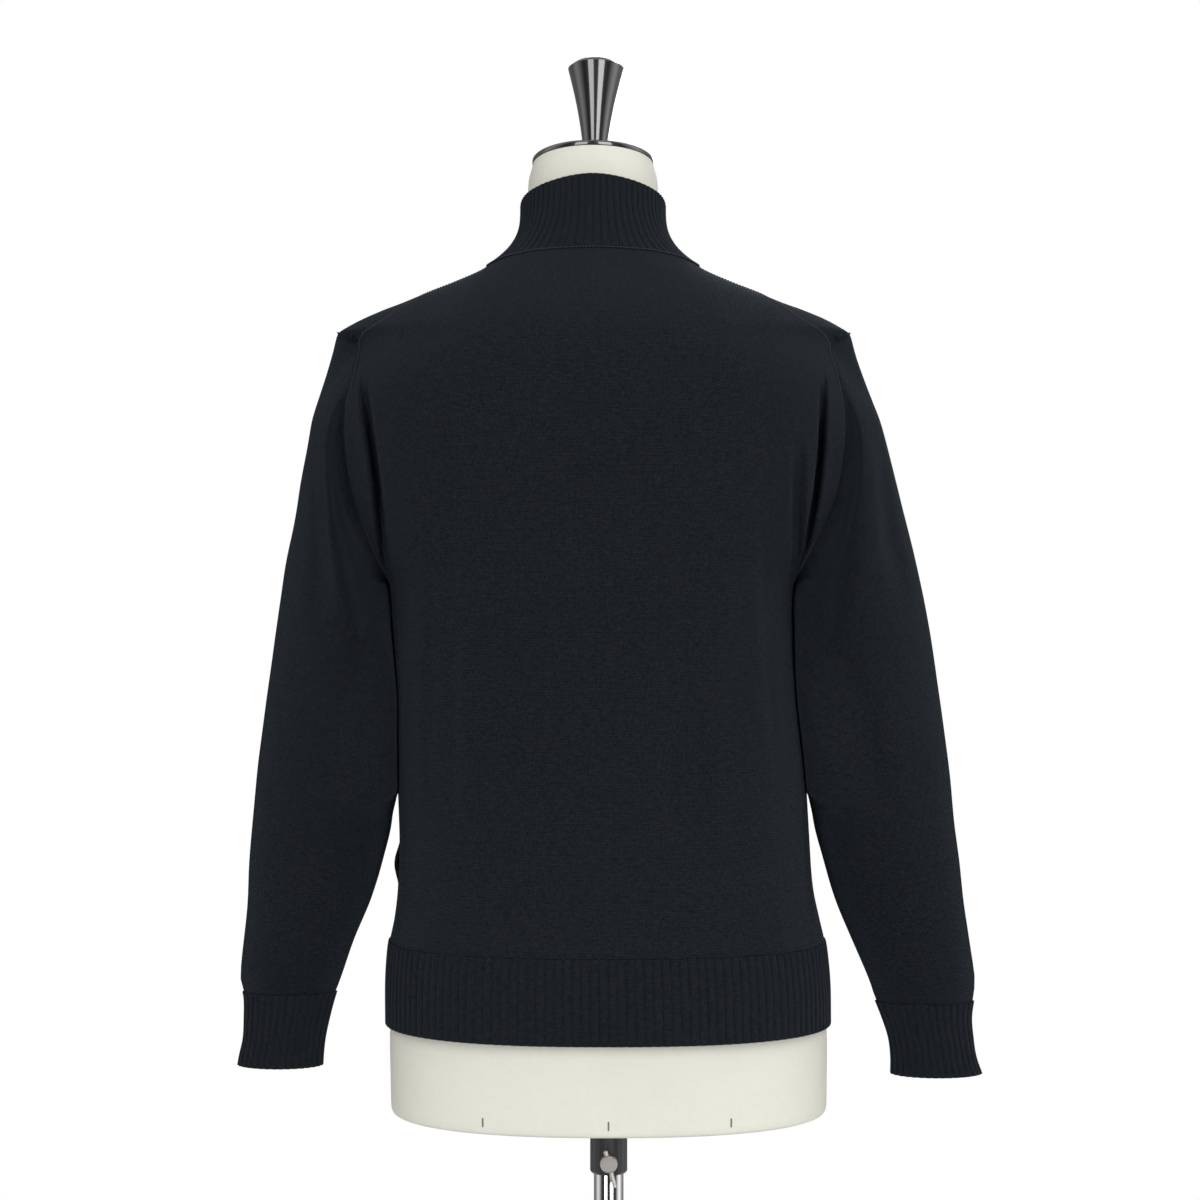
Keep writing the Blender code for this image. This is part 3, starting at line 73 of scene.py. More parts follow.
# Section sizes of the knitted body: height, half width on the left and right, depth back and front
BODY_TABLE = (
    (72, 187.3, 187, 133, 128),
    (104, 187, 187, 132.5, 127.5),
    (126, 185.6, 185.6, 131, 126),
    (141, 183.6, 183.8, 128.8, 124.5),
    (160, 179.4, 179.8, 124, 121),
    (185, 176, 175.4, 119, 117.5),
    (225, 173.8, 173.4, 112.5, 114),
    (300, 174.4, 171, 105.5, 112.5),
    (345, 175, 168.4, 104, 114.5),
    (400, 175.6, 165.8, 107.5, 119.5),
    (441, 176, 166, 111, 124),
    (500, 190, 188, 116, 128),
    (560, 201, 202, 118.5, 128),
    (600, 203.5, 205, 119, 118),
    (640, 205, 206, 117, 97),
    (680, 206, 206, 113, 81),
    (720, 206, 206, 110, 71),
    (760, 206, 206, 108, 65),
)
B_LEFT, B_RIGHT, B_BACK, B_FRONT = 1, 2, 3, 4

# Armhole seam: height, x on the back half left and right, x on the front half left and right, and
# how far the section stands back and forward of the ridge there
ARMHOLE_TABLE = (
    (441, 176, 166, 176, 166, 0, 0),
    (449, 178.6, 168.8, 177.6, 168, 12, 12),
    (462, 184, 175.4, 181, 173, 25, 24),
    (480, 190.4, 184, 186.6, 182, 36, 36),
    (508, 199, 196.6, 194.6, 193, 46, 47),
    (530, 203.4, 202.6, 198.6, 198.6, 50, 53),
    (562, 206.6, 207.4, 202.4, 203, 52.5, 57),
    (590, 204.8, 207, 205, 206, 51, 57),
    (615, 199.4, 203, 208.4, 209.4, 47.5, 53),
    (640, 196, 198.6, 213, 214.4, 43, 47),
    (648, 201.6, 203.6, 215.4, 216.8, 41, 42),
    (655, 217, 218.6, 217, 218.6, 40, 40),
)
A_BACK, A_FRONT, A_DEPTH_BACK, A_DEPTH_FRONT = 1, 3, 5, 6

# Ridge of the shoulder: x, its height, the radius of its rounding, and the angle round that rounding
# at which the shoulder seam lies on the back
RIDGE_TABLE = (
    (0, 748, 130, 3),
    (45, 738.6, 124, 3),
    (70, 725.4, 115, 3),
    (90, 710.6, 104, 3),
    (113, 699.6, 96, 5),
    (137, 690, 88, 9),
    (150, 684.6, 82, 20),
    (162, 679.8, 77, 28),
    (177, 674.4, 71, 39),
    (198, 665.6, 63, 43),
    (218, 655, 58, 42),
)
RIDGE_Z, RIDGE_ROUND, SEAM_ANGLE = 1, 2, 3

# Neck seam: x, its height on the back and on the front
NECK_TABLE = (
    (0, 718, 640),
    (28, 717.4, 643),
    (50, 716.2, 651),
    (67, 714.2, 664),
    (79, 712.4, 681),
    (86, 711, 696),
    (89, 710.4, 705),
    (89.7, 710.3, 710.4),
    (90, 710.2, 710.5),
)
NECK_BACK, NECK_FRONT = 1, 2

# Deep creases of the back beside the armholes, where cloth with no arm in it falls in: height, x of the
# crease on the left and right, and its depth
FOLD_TABLE = (
    (441, 173.4, 167, 2),
    (456, 174.5, 171.4, 10),
    (482, 176, 175.8, 19),
    (517, 177.6, 182, 25),
    (540, 179.8, 184.8, 26),
    (563, 182.6, 186.8, 24),
    (586, 185.6, 188, 15),
    (606, 187.4, 188.6, 4),
    (620, 188, 189, 0),
)
FOLD_LEFT, FOLD_RIGHT, FOLD_DEPTH = 1, 2, 3
FOLD_WIDTHS = {1: (3.8, 9.0), -1: (4.0, 6.0)}  # on the side of the centre, and on the armhole's
FOLD_MARGIN = 6.0
CREASE_FLOOR = 1.35  # above 1, a crease's floor is flat

# Soft vertical folds of the back and fronts: face, x at the top, x at the bottom, top, bottom,
# width towards the centre, width away from it, depth
SOFT_FOLDS = (
    ("back", 122, 133, 500, 214, 22, 28, 4.2),
    ("back", 96, 84, 430, 190, 24, 24, 2),
    ("back", -140, -152, 520, 250, 18, 24, 3.6),
    ("back", -164, -163, 560, 372, 4.5, 12, 13),
    ("back", -60, -74, 420, 170, 30, 30, 1.8),
    ("front", 128, 138, 480, 230, 26, 26, 4),
    ("front", 164, 166, 560, 400, 6, 12, 8),
    ("front", -134, -141, 500, 250, 24, 24, 3.8),
    ("front", -160, -160, 570, 390, 6, 12, 8),
    ("front", 70, 62, 420, 180, 26, 26, 2.2),
    ("front", -56, -70, 400, 170, 28, 28, 2),
)

# Sleeve rings: share of the length, height at the outer side, height at the inner side, and the half
# depth to the back and to the front
RING_TABLE = (
    (0.00, 655, 441, 50, 55),
    (0.09, 622, 427, 57, 60),
    (0.20, 580, 402, 61, 62),
    (0.32, 528, 368, 60, 58),
    (0.44, 466, 328, 54, 51),
    (0.56, 400, 284, 47, 44),
    (0.68, 330, 238, 40, 37),
    (0.80, 250, 190, 33, 31),
    (0.91, 168, 138, 28, 26),
    (1.00, 92, 92, 24.5, 22.5),
)
R_OUTER, R_INNER, R_BACK, R_FRONT = 1, 2, 3, 4

# Outer and inner lines of the hanging sleeves and cuffs: height, outer x left and right, inner x left
# and right
SLEEVE_TABLE = (
    (24, 315.6, 317, 244, 240.6),
    (40, 313, 311.4, 243.4, 240.8),
    (56, 309.4, 309, 241.6, 239),
    (74, 308.4, 307.8, 237.6, 233.4),
    (92, 308.4, 310.4, 232.6, 226.6),
    (106, 311.8, 312, 227.4, 222),
    (139, 308.8, 307.8, 215.2, 208.4),
    (173, 304.6, 303.4, 200.2, 194.8),
    (207, 302.4, 300.8, 189, 185.4),
    (241, 298.6, 297.4, 180.4, 177.6),
    (292, 292.2, 293.6, 177.4, 174.6),
    (343, 284, 288.2, 177.6, 171.6),
    (394, 275.6, 282.2, 178.2, 168.8),
    (428, 269.6, 277, 177.8, 168.2),
    (462, 263.4, 270.6, 177.8, 168.4),
    (496, 255.4, 263, 178, 168.4),
    (530, 248.8, 254.6, 178, 168.4),
    (564, 240.2, 245.4, 178, 168.4),
    (598, 232, 234.8, 178, 168.4),
    (632, 222.6, 223.8, 178, 168.4),
    (655, 217, 218.6, 178, 168.4),
)
S_OUTER, S_INNER = 1, 3

# Folds of the sleeves: side, share of the turn (0 inner side, 0.25 back, 0.5 outer side), the same at
# the fold's lower end, height of its top and bottom, half width as a share of the turn, depth
SLEEVE_FOLDS = (
    (1, 0.34, 0.29, 560, 400, 0.055, 5),
    (1, 0.72, 0.70, 540, 380, 0.060, 5),
    (1, 0.80, 0.84, 430, 250, 0.055, 4),
    (-1, 0.38, 0.36, 570, 420, 0.050, 4.5),
    (-1, 0.70, 0.66, 520, 360, 0.060, 5),
    (-1, 0.20, 0.24, 400, 240, 0.055, 3),
)

# Shares of the sleeve's length at which its rings lie
SLEEVE_SHARES = (0.0, 0.035, 0.08, 0.14, 0.21, 0.29, 0.38, 0.47, 0.57, 0.67, 0.78, 0.89, 1.0)
SHAPE_EASE = 0.20  # share of the length over which the sleeve leaves the armhole's shape
SLEEVE_ROLL = 12.0  # how far the sleeve's cloth rolls out beside the armhole
ROLL_LENGTH = 0.36  # share of the length over which it does
ROLL_EARLY = 0.65  # below 1, the roll is largest nearer the armhole
TURN_EASE = 0.8  # share of the length over which the columns come to even steps
CUFF_DEEP = (0.93, 0.02)  # the cuff's depth as a share of the sleeve's, and its gain by the edge
CUFF_EASE = 0.35  # share of the cuff over which it leaves the sleeve's shape

# Dress form: height, half width, depth to the back and to the front, and the roundness of its section
FORM_TABLE = (
    (-4, 179.6, 117.4, 116, 2.3),
    (-2.6, 182.6, 120.4, 119, 2.3),
    (1, 184, 121.8, 120.4, 2.3),
    (8, 184.4, 122.2, 120.8, 2.3),
    (20, 184.6, 122.4, 121, 2.3),
    (62, 184.9, 124, 120.6, 2.3),
    (80, 182.8, 123.6, 119, 2.3),
    (141, 174, 117, 113.6, 2.3),
    (225, 160, 104, 104, 2.3),
    (300, 151, 96, 102, 2.3),
    (380, 150, 98, 108, 2.3),
    (460, 154, 105, 116, 2.3),
    (530, 164, 110, 119, 2.3),
    (590, 174, 110, 108, 2.3),
    (630, 184, 102, 88, 2.2),
    (648, 186, 92, 75, 2.1),
    (663, 180, 83, 67, 2),
    (675.3, 164, 75, 61, 1.9),
    (686.3, 136, 68, 58, 1.75),
    (699, 104, 62, 55, 1.6),
    (709, 76, 59, 54.6, 1.65),
    (724, 60, 57, 55.6, 1.85),
    (744, 56, 56, 56, 2),
    (782, 54.8, 55.4, 55.4, 2),
    (797, 51, 52, 52, 2),
)
FORM_STEPS = 180
NECK_TILT = 9.0  # the top of the neck slopes down to the front
NECK_TOP = 797.0
NECK_FOOT = 748.0  # the tilt starts here
CAP_RADIUS = 51.6
CAP_THICKNESS = 4.6
CAP_DOME = 6.0
CAP_EDGE = 1.2  # height of the cap's rounded lower edge

# Turned knob: height above its foot and radius
KNOB_PROFILE = (
    (0, 13.4), (4, 13.4), (6.5, 10.9), (11, 11), (30, 13.9), (46.5, 17.1), (61, 20.5), (73.4, 23.6),
    (74.2, 23.8), (75, 23.2), (79.3, 17.5), (82.2, 9), (83, 0),
)

# Collar: share of the way round from the centre front, half width, depth and height of its top edge
COLLAR_TOP_TABLE = (
    (0.00, 0, -69, 704),
    (0.12, 41, -52, 720),
    (0.27, 60.6, -4, 760.5),
    (0.38, 45, 43, 772.6),
    (0.50, 0, 63, 780),
    (0.62, -45, 43, 772.6),
)
COLLAR_FLARE = 3.1  # how fast the collar draws in from its seam

# Rows of the rib pieces, and steps of the sections that they are spaced out from
CUFF_ROWS = 24
HEM_ROWS = 22
COLLAR_ROWS = 26
CUFF_STEPS = 120
HEM_STEPS = 90
COLLAR_STEPS = 80

# Seams and the zip's teeth
STITCH_PITCH = 2.6
STITCH_SIZE = (1.1, 0.65, 0.6)  # half length, half width and height of a linking stitch
STITCH_ASKEW = 0.35
TOOTH_STEP = 1.55  # from one tooth of the zip to the next, of the other side
TOOTH_BOTTOM = -1.9  # below the cloth's outer side
TOOTH_BLOCKS = (  # a tooth's head and foot: near and far side with its top there, and height
    ((-0.7, -0.3), (1.3, -0.5), 1.15),
    ((1.3, -0.5), (3.2, -0.5), 0.75),
)
SEAM_DIP = 0.6  # cloth rounds down this far into a seam
SEAM_WIDTH = 2.4
REST_LOW = 244.0  # the sleeves rest on the body down to here
REST_GAP = 1.5
REST_REACH = 0.12  # share of the turn that rests, and twice this further down, over a height of
REST_SPREAD = 110.0
REST_ROUND = 0.9  # share of the body's depth up to which the sleeve rests
TROUGH_DEEP = {1: 9.0, -1: 5.5}  # the sleeve sinks this far beside the armhole seam
TROUGH_WIDE = 5.0
TROUGH_START = (462, 50)  # height at which the trough starts, and its rise to full depth
TROUGH_END = (606, 40)  # height at which it ends, and its way down from full depth
UNEVEN = 0.35  # height of the cloth's soft random rise, and its size on sleeves and panels
UNEVEN_SLEEVE, UNEVEN_PANEL = 45.0, 50.0
ROLL_RISE = 2.2  # the body's cloth rolls up this far on its side of the seam
INNER_RATIO = 4  # outer columns for each one of a piece's inner side

# Stand
POLE_RADIUS = 12.6
POLE_TOP = 750.0
POLE_FOOT = 8.3
POLE_EDGE = 0.4
SOCKET_HOLE = 16.2  # the hole in the form's underside, round its socket
KNOB_ASIDE = -1.4  # the knob was screwed in a little off the middle and askew
KNOB_TURN = -0.014  # in radians

# Ticks drawn on the form: name and x, heights of their ends, width, and how they stand in its cover
MARKS = (("left", 102.0), ("middle", 0.6), ("right", -98.4))
MARK_HEIGHTS = (2.9, 10.1)
MARK_WIDTH = 1.3
MARK_LIFT, MARK_SINK = 0.12, 0.3

NAVY = (0.0095, 0.0124, 0.0151)
NAVY_RIB = (0.0091, 0.0118, 0.0145)
# The linking stitches' navy yarn, lightened to about four times the cloth's colour: a painted highlight
# where the raised stitches catch the light
NAVY_YARN_HIGHLIT = (0.040, 0.051, 0.066)
SHEEN = (0.36, 0.5, 0.68, 1.0)
WALES_SHOW = (1.035, 1.085)  # above these heights the wales show more than the courses, in metres
LINEN = (0.775, 0.765, 0.675)
BLACK = (0.003, 0.003, 0.0033)
STEEL = (0.8, 0.8, 0.8)
COTTON_PITCH = 0.0009
KNIT_TONES = (0.4, 1.9)  # the knit's darkest and lightest tone as shares of its colour
KNIT_TINTS = ((0.86, 1.04, 1.02), (1.16, 0.94, 1.02))
KNIT_SHARES = (0.5, 0.9, 0.14)  # how far streaks, specks and patches change the tone
# The stitch's height sets part of the knit's tone: painted shade in the grooves between stitches, lighter on
# their tops
STITCH_SHADE_SHARE = 0.62  # how far a stitch's height changes it
TONE_START = 0.16

# Camera and light, in metres
CAMERA_PLACE = (0.0074, 2.1, 0.828)
CAMERA_ANGLE = 27.3
AIM = (0.0, 0.0, 0.85)
# The white studio: share of the way from behind the form to behind the camera, and brightness there
WORLD_STEPS = ((0.0, 0.16), (0.3, 0.34), (0.47, 1.05), (0.58, 0.9), (0.78, 0.06), (1.0, 0.03))
WORLD_ASIDE = 0.16  # brighter on the wearer's right
WORLD_UP = 0.3  # brighter above
FLOOR_RADIUS = 1.05
SOFT_BOXES = (
    ("soft_box_right", (-1.0, 2.45, 1.4), (1.15, 2.9), 42.0),
    ("soft_box_left", (1.0, 2.45, 1.4), (1.05, 2.9), 31.0),
    ("soft_box_front", (-0.6, -2.4, 1.9), (1.4, 1.4), 20.0),
)


@lru_cache(maxsize=None)
def column_of(table, column):
    return [row[0] for row in table], [row[column] for row in table]


@lru_cache(maxsize=None)
def read(table, column, at):
    """The smooth value of one column of a table at a value of its first column."""
    keys, values = column_of(table, column)
    at = min(max(at, keys[0]), keys[-1])
    low = min(bisect_right(keys, at), len(keys) - 1) - 1

    def slope(index):
        before = max(index - 1, 0)
        after = min(index + 1, len(keys) - 1)
        return (values[after] - values[before]) / (keys[after] - keys[before])

    span = keys[low + 1] - keys[low]
    t = (at - keys[low]) / span
    return ((2 * t**3 - 3 * t**2 + 1) * values[low] + (t**3 - 2 * t**2 + t) * span * slope(low)
            + (3 * t**2 - 2 * t**3) * values[low + 1] + (t**3 - t**2) * span * slope(low + 1))


def smooth_step(t):
    t = min(max(t, 0.0), 1.0)
    return t * t * (3 - 2 * t)


def hump(t):
    """A soft rise from 0 at -1 to 1 at 0 and back to 0 at 1."""
    return 0.5 + 0.5 * math.cos(math.pi * min(1.0, abs(t)))


def lean(z):
    """The torso leans to the wearer's left as it rises."""
    return LEAN * smooth_step(z / LEAN_HEIGHT)


def place(x, y, z):
    return ((x + lean(z)) * MM, y * MM, (z + FORM_BOTTOM) * MM)


# The knitted body

def half_width(z, side):
    return read(BODY_TABLE, B_LEFT if side > 0 else B_RIGHT, z)


def full_depth(z, at_back):
    return read(BODY_TABLE, B_BACK if at_back else B_FRONT, z)


def round_off(share, power=SECTION):
    """How far a rounded section stands out, at a share of its half width."""
    return max(0.0, 1 - share ** power) ** (1 / power)


def armhole_x(z, side, face):
    """Half width at the armhole seam, or at the side seam below the armpit."""
    if z <= ARMPIT_Z:
        return half_width(z, side)
    first = A_BACK if face == "back" else A_FRONT
    return read(ARMHOLE_TABLE, first + (0 if side > 0 else 1), z)


def lateral(u, z, side, face):
    """x of a column of the cloth, u = 0 at the centre and 1 at the armhole or side seam."""
    swing = math.radians(90 - SPREAD_LESS * smooth_step((z - ARMPIT_Z) / SPREAD_HEIGHT))
    spread = (math.sin(u * swing) / math.sin(swing)) ** (2 / SECTION)
    half = half_width(z, side)
    return half * spread + (armhole_x(z, side, face) - half) * u**EDGE_POWER


def depth(x, z, side, face):
    """How far the section stands back or forward at x, before the shoulder rounds it off."""
    full = full_depth(z, face == "back")
    stand = 0.0
    if z > ARMPIT_Z:
        stand = read(ARMHOLE_TABLE, A_DEPTH_BACK if face == "back" else A_DEPTH_FRONT, z)
    whole = armhole_x(z, side, face) / round_off(stand / full)
    return full * round_off(x / whole)


def crease(offset, inward, outward):
    """Share of a crease's depth beside its bottom, with its own width on each side."""
    return smooth_step(CREASE_FLOOR * hump(offset / (inward if offset < 0 else outward)))


def fold_in(x, z, side, face):
    """Depth of the folds at a point, x signed; they die out before the armhole and side seam."""
    total = 0.0
    if face == "back":
        beside = abs(x) - read(FOLD_TABLE, FOLD_LEFT if side > 0 else FOLD_RIGHT, z)
        total += max(0.0, read(FOLD_TABLE, FOLD_DEPTH, z)) * crease(beside, *FOLD_WIDTHS[side])
    for place_on, x_top, x_bottom, top, bottom, inward, outward, deep in SOFT_FOLDS:
        if place_on != face or x_top * side < 0 or not bottom < z < top:
            continue
        t = (top - z) / (top - bottom)
        centre = abs(x_top + (x_bottom - x_top) * t)
        total += deep * math.sin(math.pi * t) * crease(abs(x) - centre, inward, outward)
    return total * smooth_step((armhole_x(z, side, face) - abs(x)) / FOLD_MARGIN)


def ridge_of(u, side, face):
    """Where a column crosses the ridge: its x, its height and the radius of its rounding."""
    x = lateral(u, RIDGE_LEVEL, side, face)
    return x, read(RIDGE_TABLE, RIDGE_Z, x), read(RIDGE_TABLE, RIDGE_ROUND, x)


def body_point(u, s, side):
    """A point of the cloth on one half of the torso.

    s runs from the ridge of the shoulder down the back (positive) or down the front (negative).
    """
    face = "back" if s > 0 else "front"
    _, ridge_z, rounding = ridge_of(u, side, face)
    quarter = rounding * math.pi / 2
    angle = min(abs(s), quarter) / rounding
    z = ridge_z - rounding * (1 - math.cos(angle)) - max(0.0, abs(s) - quarter)
    x = side * lateral(u, z, side, face)
    out = (depth(abs(x), z, side, face) - fold_in(x, z, side, face)) * math.sin(angle)
    y = RIDGE_Y * (1 - smooth_step((ridge_z - z) / RIDGE_FADE))
    if face == "back":
        return (x, y + out, z)
    lip = 0.0
    low, high = POCKET_MOUTH
    if side > 0 and low < z < high:
        gape = hump((z - 0.5 * (low + high)) / (0.5 * (high - low)))
        lip = POCKET_GAPE * gape * smooth_step((u - LIP_START) / 0.2)
    return (x + lip, y - out - lip * LIP_FORWARD, z)


def s_at_height(u, z, side, face):
    """The distance from the ridge at which a column reaches a height."""
    _, ridge_z, rounding = ridge_of(u, side, face)
    drop = ridge_z - z
    if drop < rounding:
        s = rounding * math.acos(1 - max(0.0, drop) / rounding)
    else:
        s = rounding * math.pi / 2 + drop - rounding
    return s if face == "back" else -s


def top_of_column(u, side, face):
    """s where a column starts: at the neck seam, or at the shoulder seam on the back."""
    ridge_x, _, rounding = ridge_of(u, side, face)
    if ridge_x < NECK_POINT - 0.05:
        column = NECK_BACK if face == "back" else NECK_FRONT
        return s_at_height(u, read(NECK_TABLE, column, ridge_x), side, face)
    return rounding * math.radians(read(RIDGE_TABLE, SEAM_ANGLE, ridge_x))


# Columns of the cloth from the centre to the armhole, by where they cross the ridge and where they
# would cross it if they ran straight up from the chest, and the rows
SHOULDER_COLUMNS = ((90, 122), (120, 137), (148, 153), (168, 168), (180, 180), (190.5, 190.5),
                    (199.5, 199.5), (208, 208))
COLUMNS_BACK = ((0, 0), (28, 30), (54, 58), (73, 82), (84, 103)) + SHOULDER_COLUMNS
COLUMNS_FRONT = ((ZIP_HALF, ZIP_HALF), (28, 24), (50, 43), (67, 60), (79, 76), (86, 90), (89, 101),
                 (89.7, 111)) + SHOULDER_COLUMNS
ARMHOLE_HEIGHTS_BACK = (624, 602, 578, 552, 526, 502, 480, 462, 449, ARMPIT_Z)
ARMHOLE_HEIGHTS_FRONT = (648, 628, 602, 574, 544, 514, 488, 468, 452, ARMPIT_Z)
SHARES_OVER_RIDGE = (0.5, 1.0)
NECK_ROWS = 2  # rows whose normals come from the surface itself, not from its grid
COLUMN_EASE = 0.6  # share of the way to the armpit over which a column bends
SIDE_HEIGHTS = (405, 360, 305, 255, 228, 212, 197, 181, 160)
HALVINGS = 40  # steps of the search for a column
NEAR_U, NEAR_S = 0.001, 0.5  # steps by which the surface's own slope is measured


def column_u(ridge_x, side, face):
    """u of the column that crosses the ridge at x."""
    low, high = 0.0, 1.0
    for _ in range(HALVINGS):
        middle = 0.5 * (low + high)
        if lateral(middle, RIDGE_LEVEL, side, face) < ridge_x:
            low = middle
        else:
            high = middle
    return high


def body_row(u, s, side, with_normal):
    """A point of the cloth with its outward normal, or with zeros for it, six numbers."""
    point = np.array(body_point(u, s, side))
    if not with_normal:
        return (*point, 0, 0, 0)
    u_low = max(u - NEAR_U, 0.0)
    across = np.array(body_point(u_low + NEAR_U, s, side)) - np.array(body_point(u_low, s, side))
    step = NEAR_S if s > 0 else -NEAR_S
    down = np.array(body_point(u, s + step, side)) - point
    normal = unit(np.cross(across, down))
    outside = (0.3 * side, 2 * step, 0.8)  # roughly, to tell the normal's two ways apart
    return (*point, *(normal if normal.dot(outside) > 0 else -normal))


# Fine grids

ROW_PARTS = 8  # rows and columns of the fine grid for each one in the tables
COLUMN_PARTS = 8
SLEEVE_PARTS = 9
COLUMNS_A_RIB = 8

def refined(values, parts):
    """The values with more between each two."""
    out = [values[0]]
    for low, high in zip(values, values[1:]):
        out += [low + (high - low) * (i + 1) / parts for i in range(parts)]
    return out


def armhole_stations(side, face):
    """s of each row of the armhole column, from the shoulder seam to the armpit."""
    start = top_of_column(1.0, side, face)
    stations = [start]
    heights = ARMHOLE_HEIGHTS_BACK
    if face == "front":
        stations += [start * (1 - share) for share in SHARES_OVER_RIDGE]
        heights = ARMHOLE_HEIGHTS_FRONT
    return refined(stations + [s_at_height(1.0, z, side, face) for z in heights], ROW_PARTS)


def half_panel(side, face):
    """Columns of one side of one face, from the centre to the armhole, as lists of points."""
    stations = armhole_stations(side, face)
    places = COLUMNS_BACK if face == "back" else COLUMNS_FRONT
    highs = refined([column_u(top_x, side, face) for top_x, _ in places] + [1.0], COLUMN_PARTS)
    lows = refined([column_u(low_x, side, face) for _, low_x in places] + [1.0], COLUMN_PARTS)
    heights = refined((ARMPIT_Z,) + SIDE_HEIGHTS + (HEM_SEAM,), ROW_PARTS)[1:]
    shares = [(s - stations[0]) / (stations[-1] - stations[0]) for s in stations]
    columns = []
    for high, low in zip(highs, lows):
        top = top_of_column(high, side, face)
        armpit = s_at_height(low, ARMPIT_Z, side, face)
        column = [body_row(high + (low - high) * smooth_step(share / COLUMN_EASE),
                           top + (armpit - top) * share, side, i < NECK_ROWS * ROW_PARTS)
                  for i, share in enumerate(shares)]
        for z in heights:
            column.append(body_row(low, s_at_height(low, z, side, face), side, False))
        columns.append(column)
    if face == "front":
        columns[0] = [(side * ZIP_HALF, *row[1:]) for row in columns[0]]
    return columns


def grid_of(columns):
    """An array of rows of points from a list of columns."""
    return np.array(columns).transpose(1, 0, 2)


def unit(vectors):
    return vectors / np.linalg.norm(vectors, axis=-1, keepdims=True)


def normals_of(grid, closed=False):
    """Outward normals of a grid whose rows run down and columns run clockwise seen from above."""
    if closed:
        across = np.roll(grid, -1, axis=1) - np.roll(grid, 1, axis=1)
    else:
        across = np.gradient(grid, axis=1)
    return unit(np.cross(across, np.gradient(grid, axis=0)))


# Meshes

def add_object(name, data):
    """An object of a mesh, lamp or camera, in the scene."""
    thing = bpy.data.objects.new(name, data)
    bpy.context.scene.collection.objects.link(thing)
    return thing


def smooth(mesh, angle):
    mesh.shade_smooth()
    mesh.set_sharp_from_angle(angle=math.radians(angle))


def object_of(name, shell, paint, mesh=None):
    """An object of faces, with their outer sides out."""
    bmesh.ops.recalc_face_normals(shell, faces=shell.faces)
    mesh = mesh or bpy.data.meshes.new(name)
    shell.to_mesh(mesh)
    shell.free()
    mesh.materials.append(paint)
    return add_object(name, mesh)


def new_piece(name, points, faces, paint, uvs=None):
    """A mesh from points in the garment's millimetres."""
    mesh = bpy.data.meshes.new(name)
    mesh.from_pydata([place(*point) for point in points], [], faces)
    if uvs is not None:
        layer = mesh.uv_layers.new(name="cloth")
        corners = np.zeros(len(mesh.loops), dtype=int)
        mesh.loops.foreach_get("vertex_index", corners)
        layer.data.foreach_set("uv", (np.asarray(uvs) * MM)[corners].ravel())
    shell = bmesh.new()
    shell.from_mesh(mesh)
    thing = object_of(name, shell, paint, mesh)
    smooth(mesh, SMOOTH_ANGLE)
    return thing


def cloth_uv(grid):
    """Even distances across and along a grid, so that the knit's wales follow its columns."""
    across = np.linalg.norm(np.diff(grid, axis=1), axis=2).mean(axis=0)
    along = np.linalg.norm(np.diff(grid, axis=0), axis=2).mean(axis=1)
    u = np.concatenate(([0.0], np.cumsum(across)))
    v = np.concatenate(([0.0], np.cumsum(along)))
    return np.stack(np.meshgrid(u, v), axis=-1)


def shell_piece(name, outer, inner, paint, closed=False):
    """A closed shell between an outer grid and an inner grid, which may have fewer columns."""
    if closed:
        outer = np.concatenate((outer, outer[:, :1]), axis=1)
        inner = np.concatenate((inner, inner[:, :1]), axis=1)
    rows, columns = outer.shape[:2]
    in_columns = inner.shape[1]
    ratio = (columns - 1) // (in_columns - 1)
    base = rows * columns
    k, j = np.meshgrid(np.arange(rows - 1), np.arange(columns - 1), indexing="ij")
    at = k * columns + j
    faces = np.stack((at, at + 1, at + columns + 1, at + columns), axis=-1).reshape(-1, 4).tolist()
    k, j = np.meshgrid(np.arange(rows - 1), np.arange(in_columns - 1), indexing="ij")
    at = base + k * in_columns + j
    faces += np.stack((at, at + in_columns, at + in_columns + 1, at + 1), axis=-1).reshape(-1, 4).tolist()
    for row in (0, rows - 1):
        for j in range(in_columns - 1):
            outside = [row * columns + i for i in range(j * ratio, (j + 1) * ratio + 1)]
            faces.append((*outside, base + row * in_columns + j + 1, base + row * in_columns + j))
    if not closed:
        for k in range(rows - 1):
            for j, i in ((0, 0), (columns - 1, in_columns - 1)):
                faces.append((k * columns + j, (k + 1) * columns + j,
                              base + (k + 1) * in_columns + i, base + k * in_columns + i))
    uvs = np.concatenate((cloth_uv(outer).reshape(-1, 2), cloth_uv(inner).reshape(-1, 2)))
    points = [*outer.reshape(-1, 3), *inner.reshape(-1, 3)]
    thing = new_piece(name, points, faces, paint, uvs)
    if closed:
        shell = bmesh.new()
        shell.from_mesh(thing.data)
        bmesh.ops.remove_doubles(shell, verts=shell.verts, dist=1e-7)
        shell.to_mesh(thing.data)
        shell.free()
    return thing


def step_off(points, normals, toward, gap=GAP):
    """Seam points moved by the gap within the cloth, towards the piece's next row."""
    aside = unit(np.cross(np.gradient(points, axis=0), normals))
    sign = np.sign(np.sum(aside * (toward - points), axis=-1, keepdims=True))
    return points + aside * sign * gap


def resample(points, spans):
    """Points at equal steps along a polyline; any further columns are carried along."""
    steps = np.linalg.norm(np.diff(points[:, :3], axis=0), axis=1)
    length = np.concatenate(([0.0], np.cumsum(steps)))
    wanted = np.linspace(0.0, length[-1], spans + 1)
    return np.stack([np.interp(wanted, length, column) for column in points.T], axis=1)


def distances_from(grid, axis, end):
    """How far each point of a grid lies from its first or last row or column, along the cloth."""
    steps = np.linalg.norm(np.diff(grid, axis=axis), axis=2)
    if end:
        steps = np.flip(steps, axis=axis)
    zero = np.zeros_like(np.take(steps, [0], axis=axis))
    total = np.concatenate((zero, np.cumsum(steps, axis=axis)), axis=axis)
    return np.flip(total, axis=axis) if end else total


def seam_dip(distance, deep, wide):
    """Cloth rounds down into a seam."""
    return -deep * np.exp(-(distance / wide) ** 2)


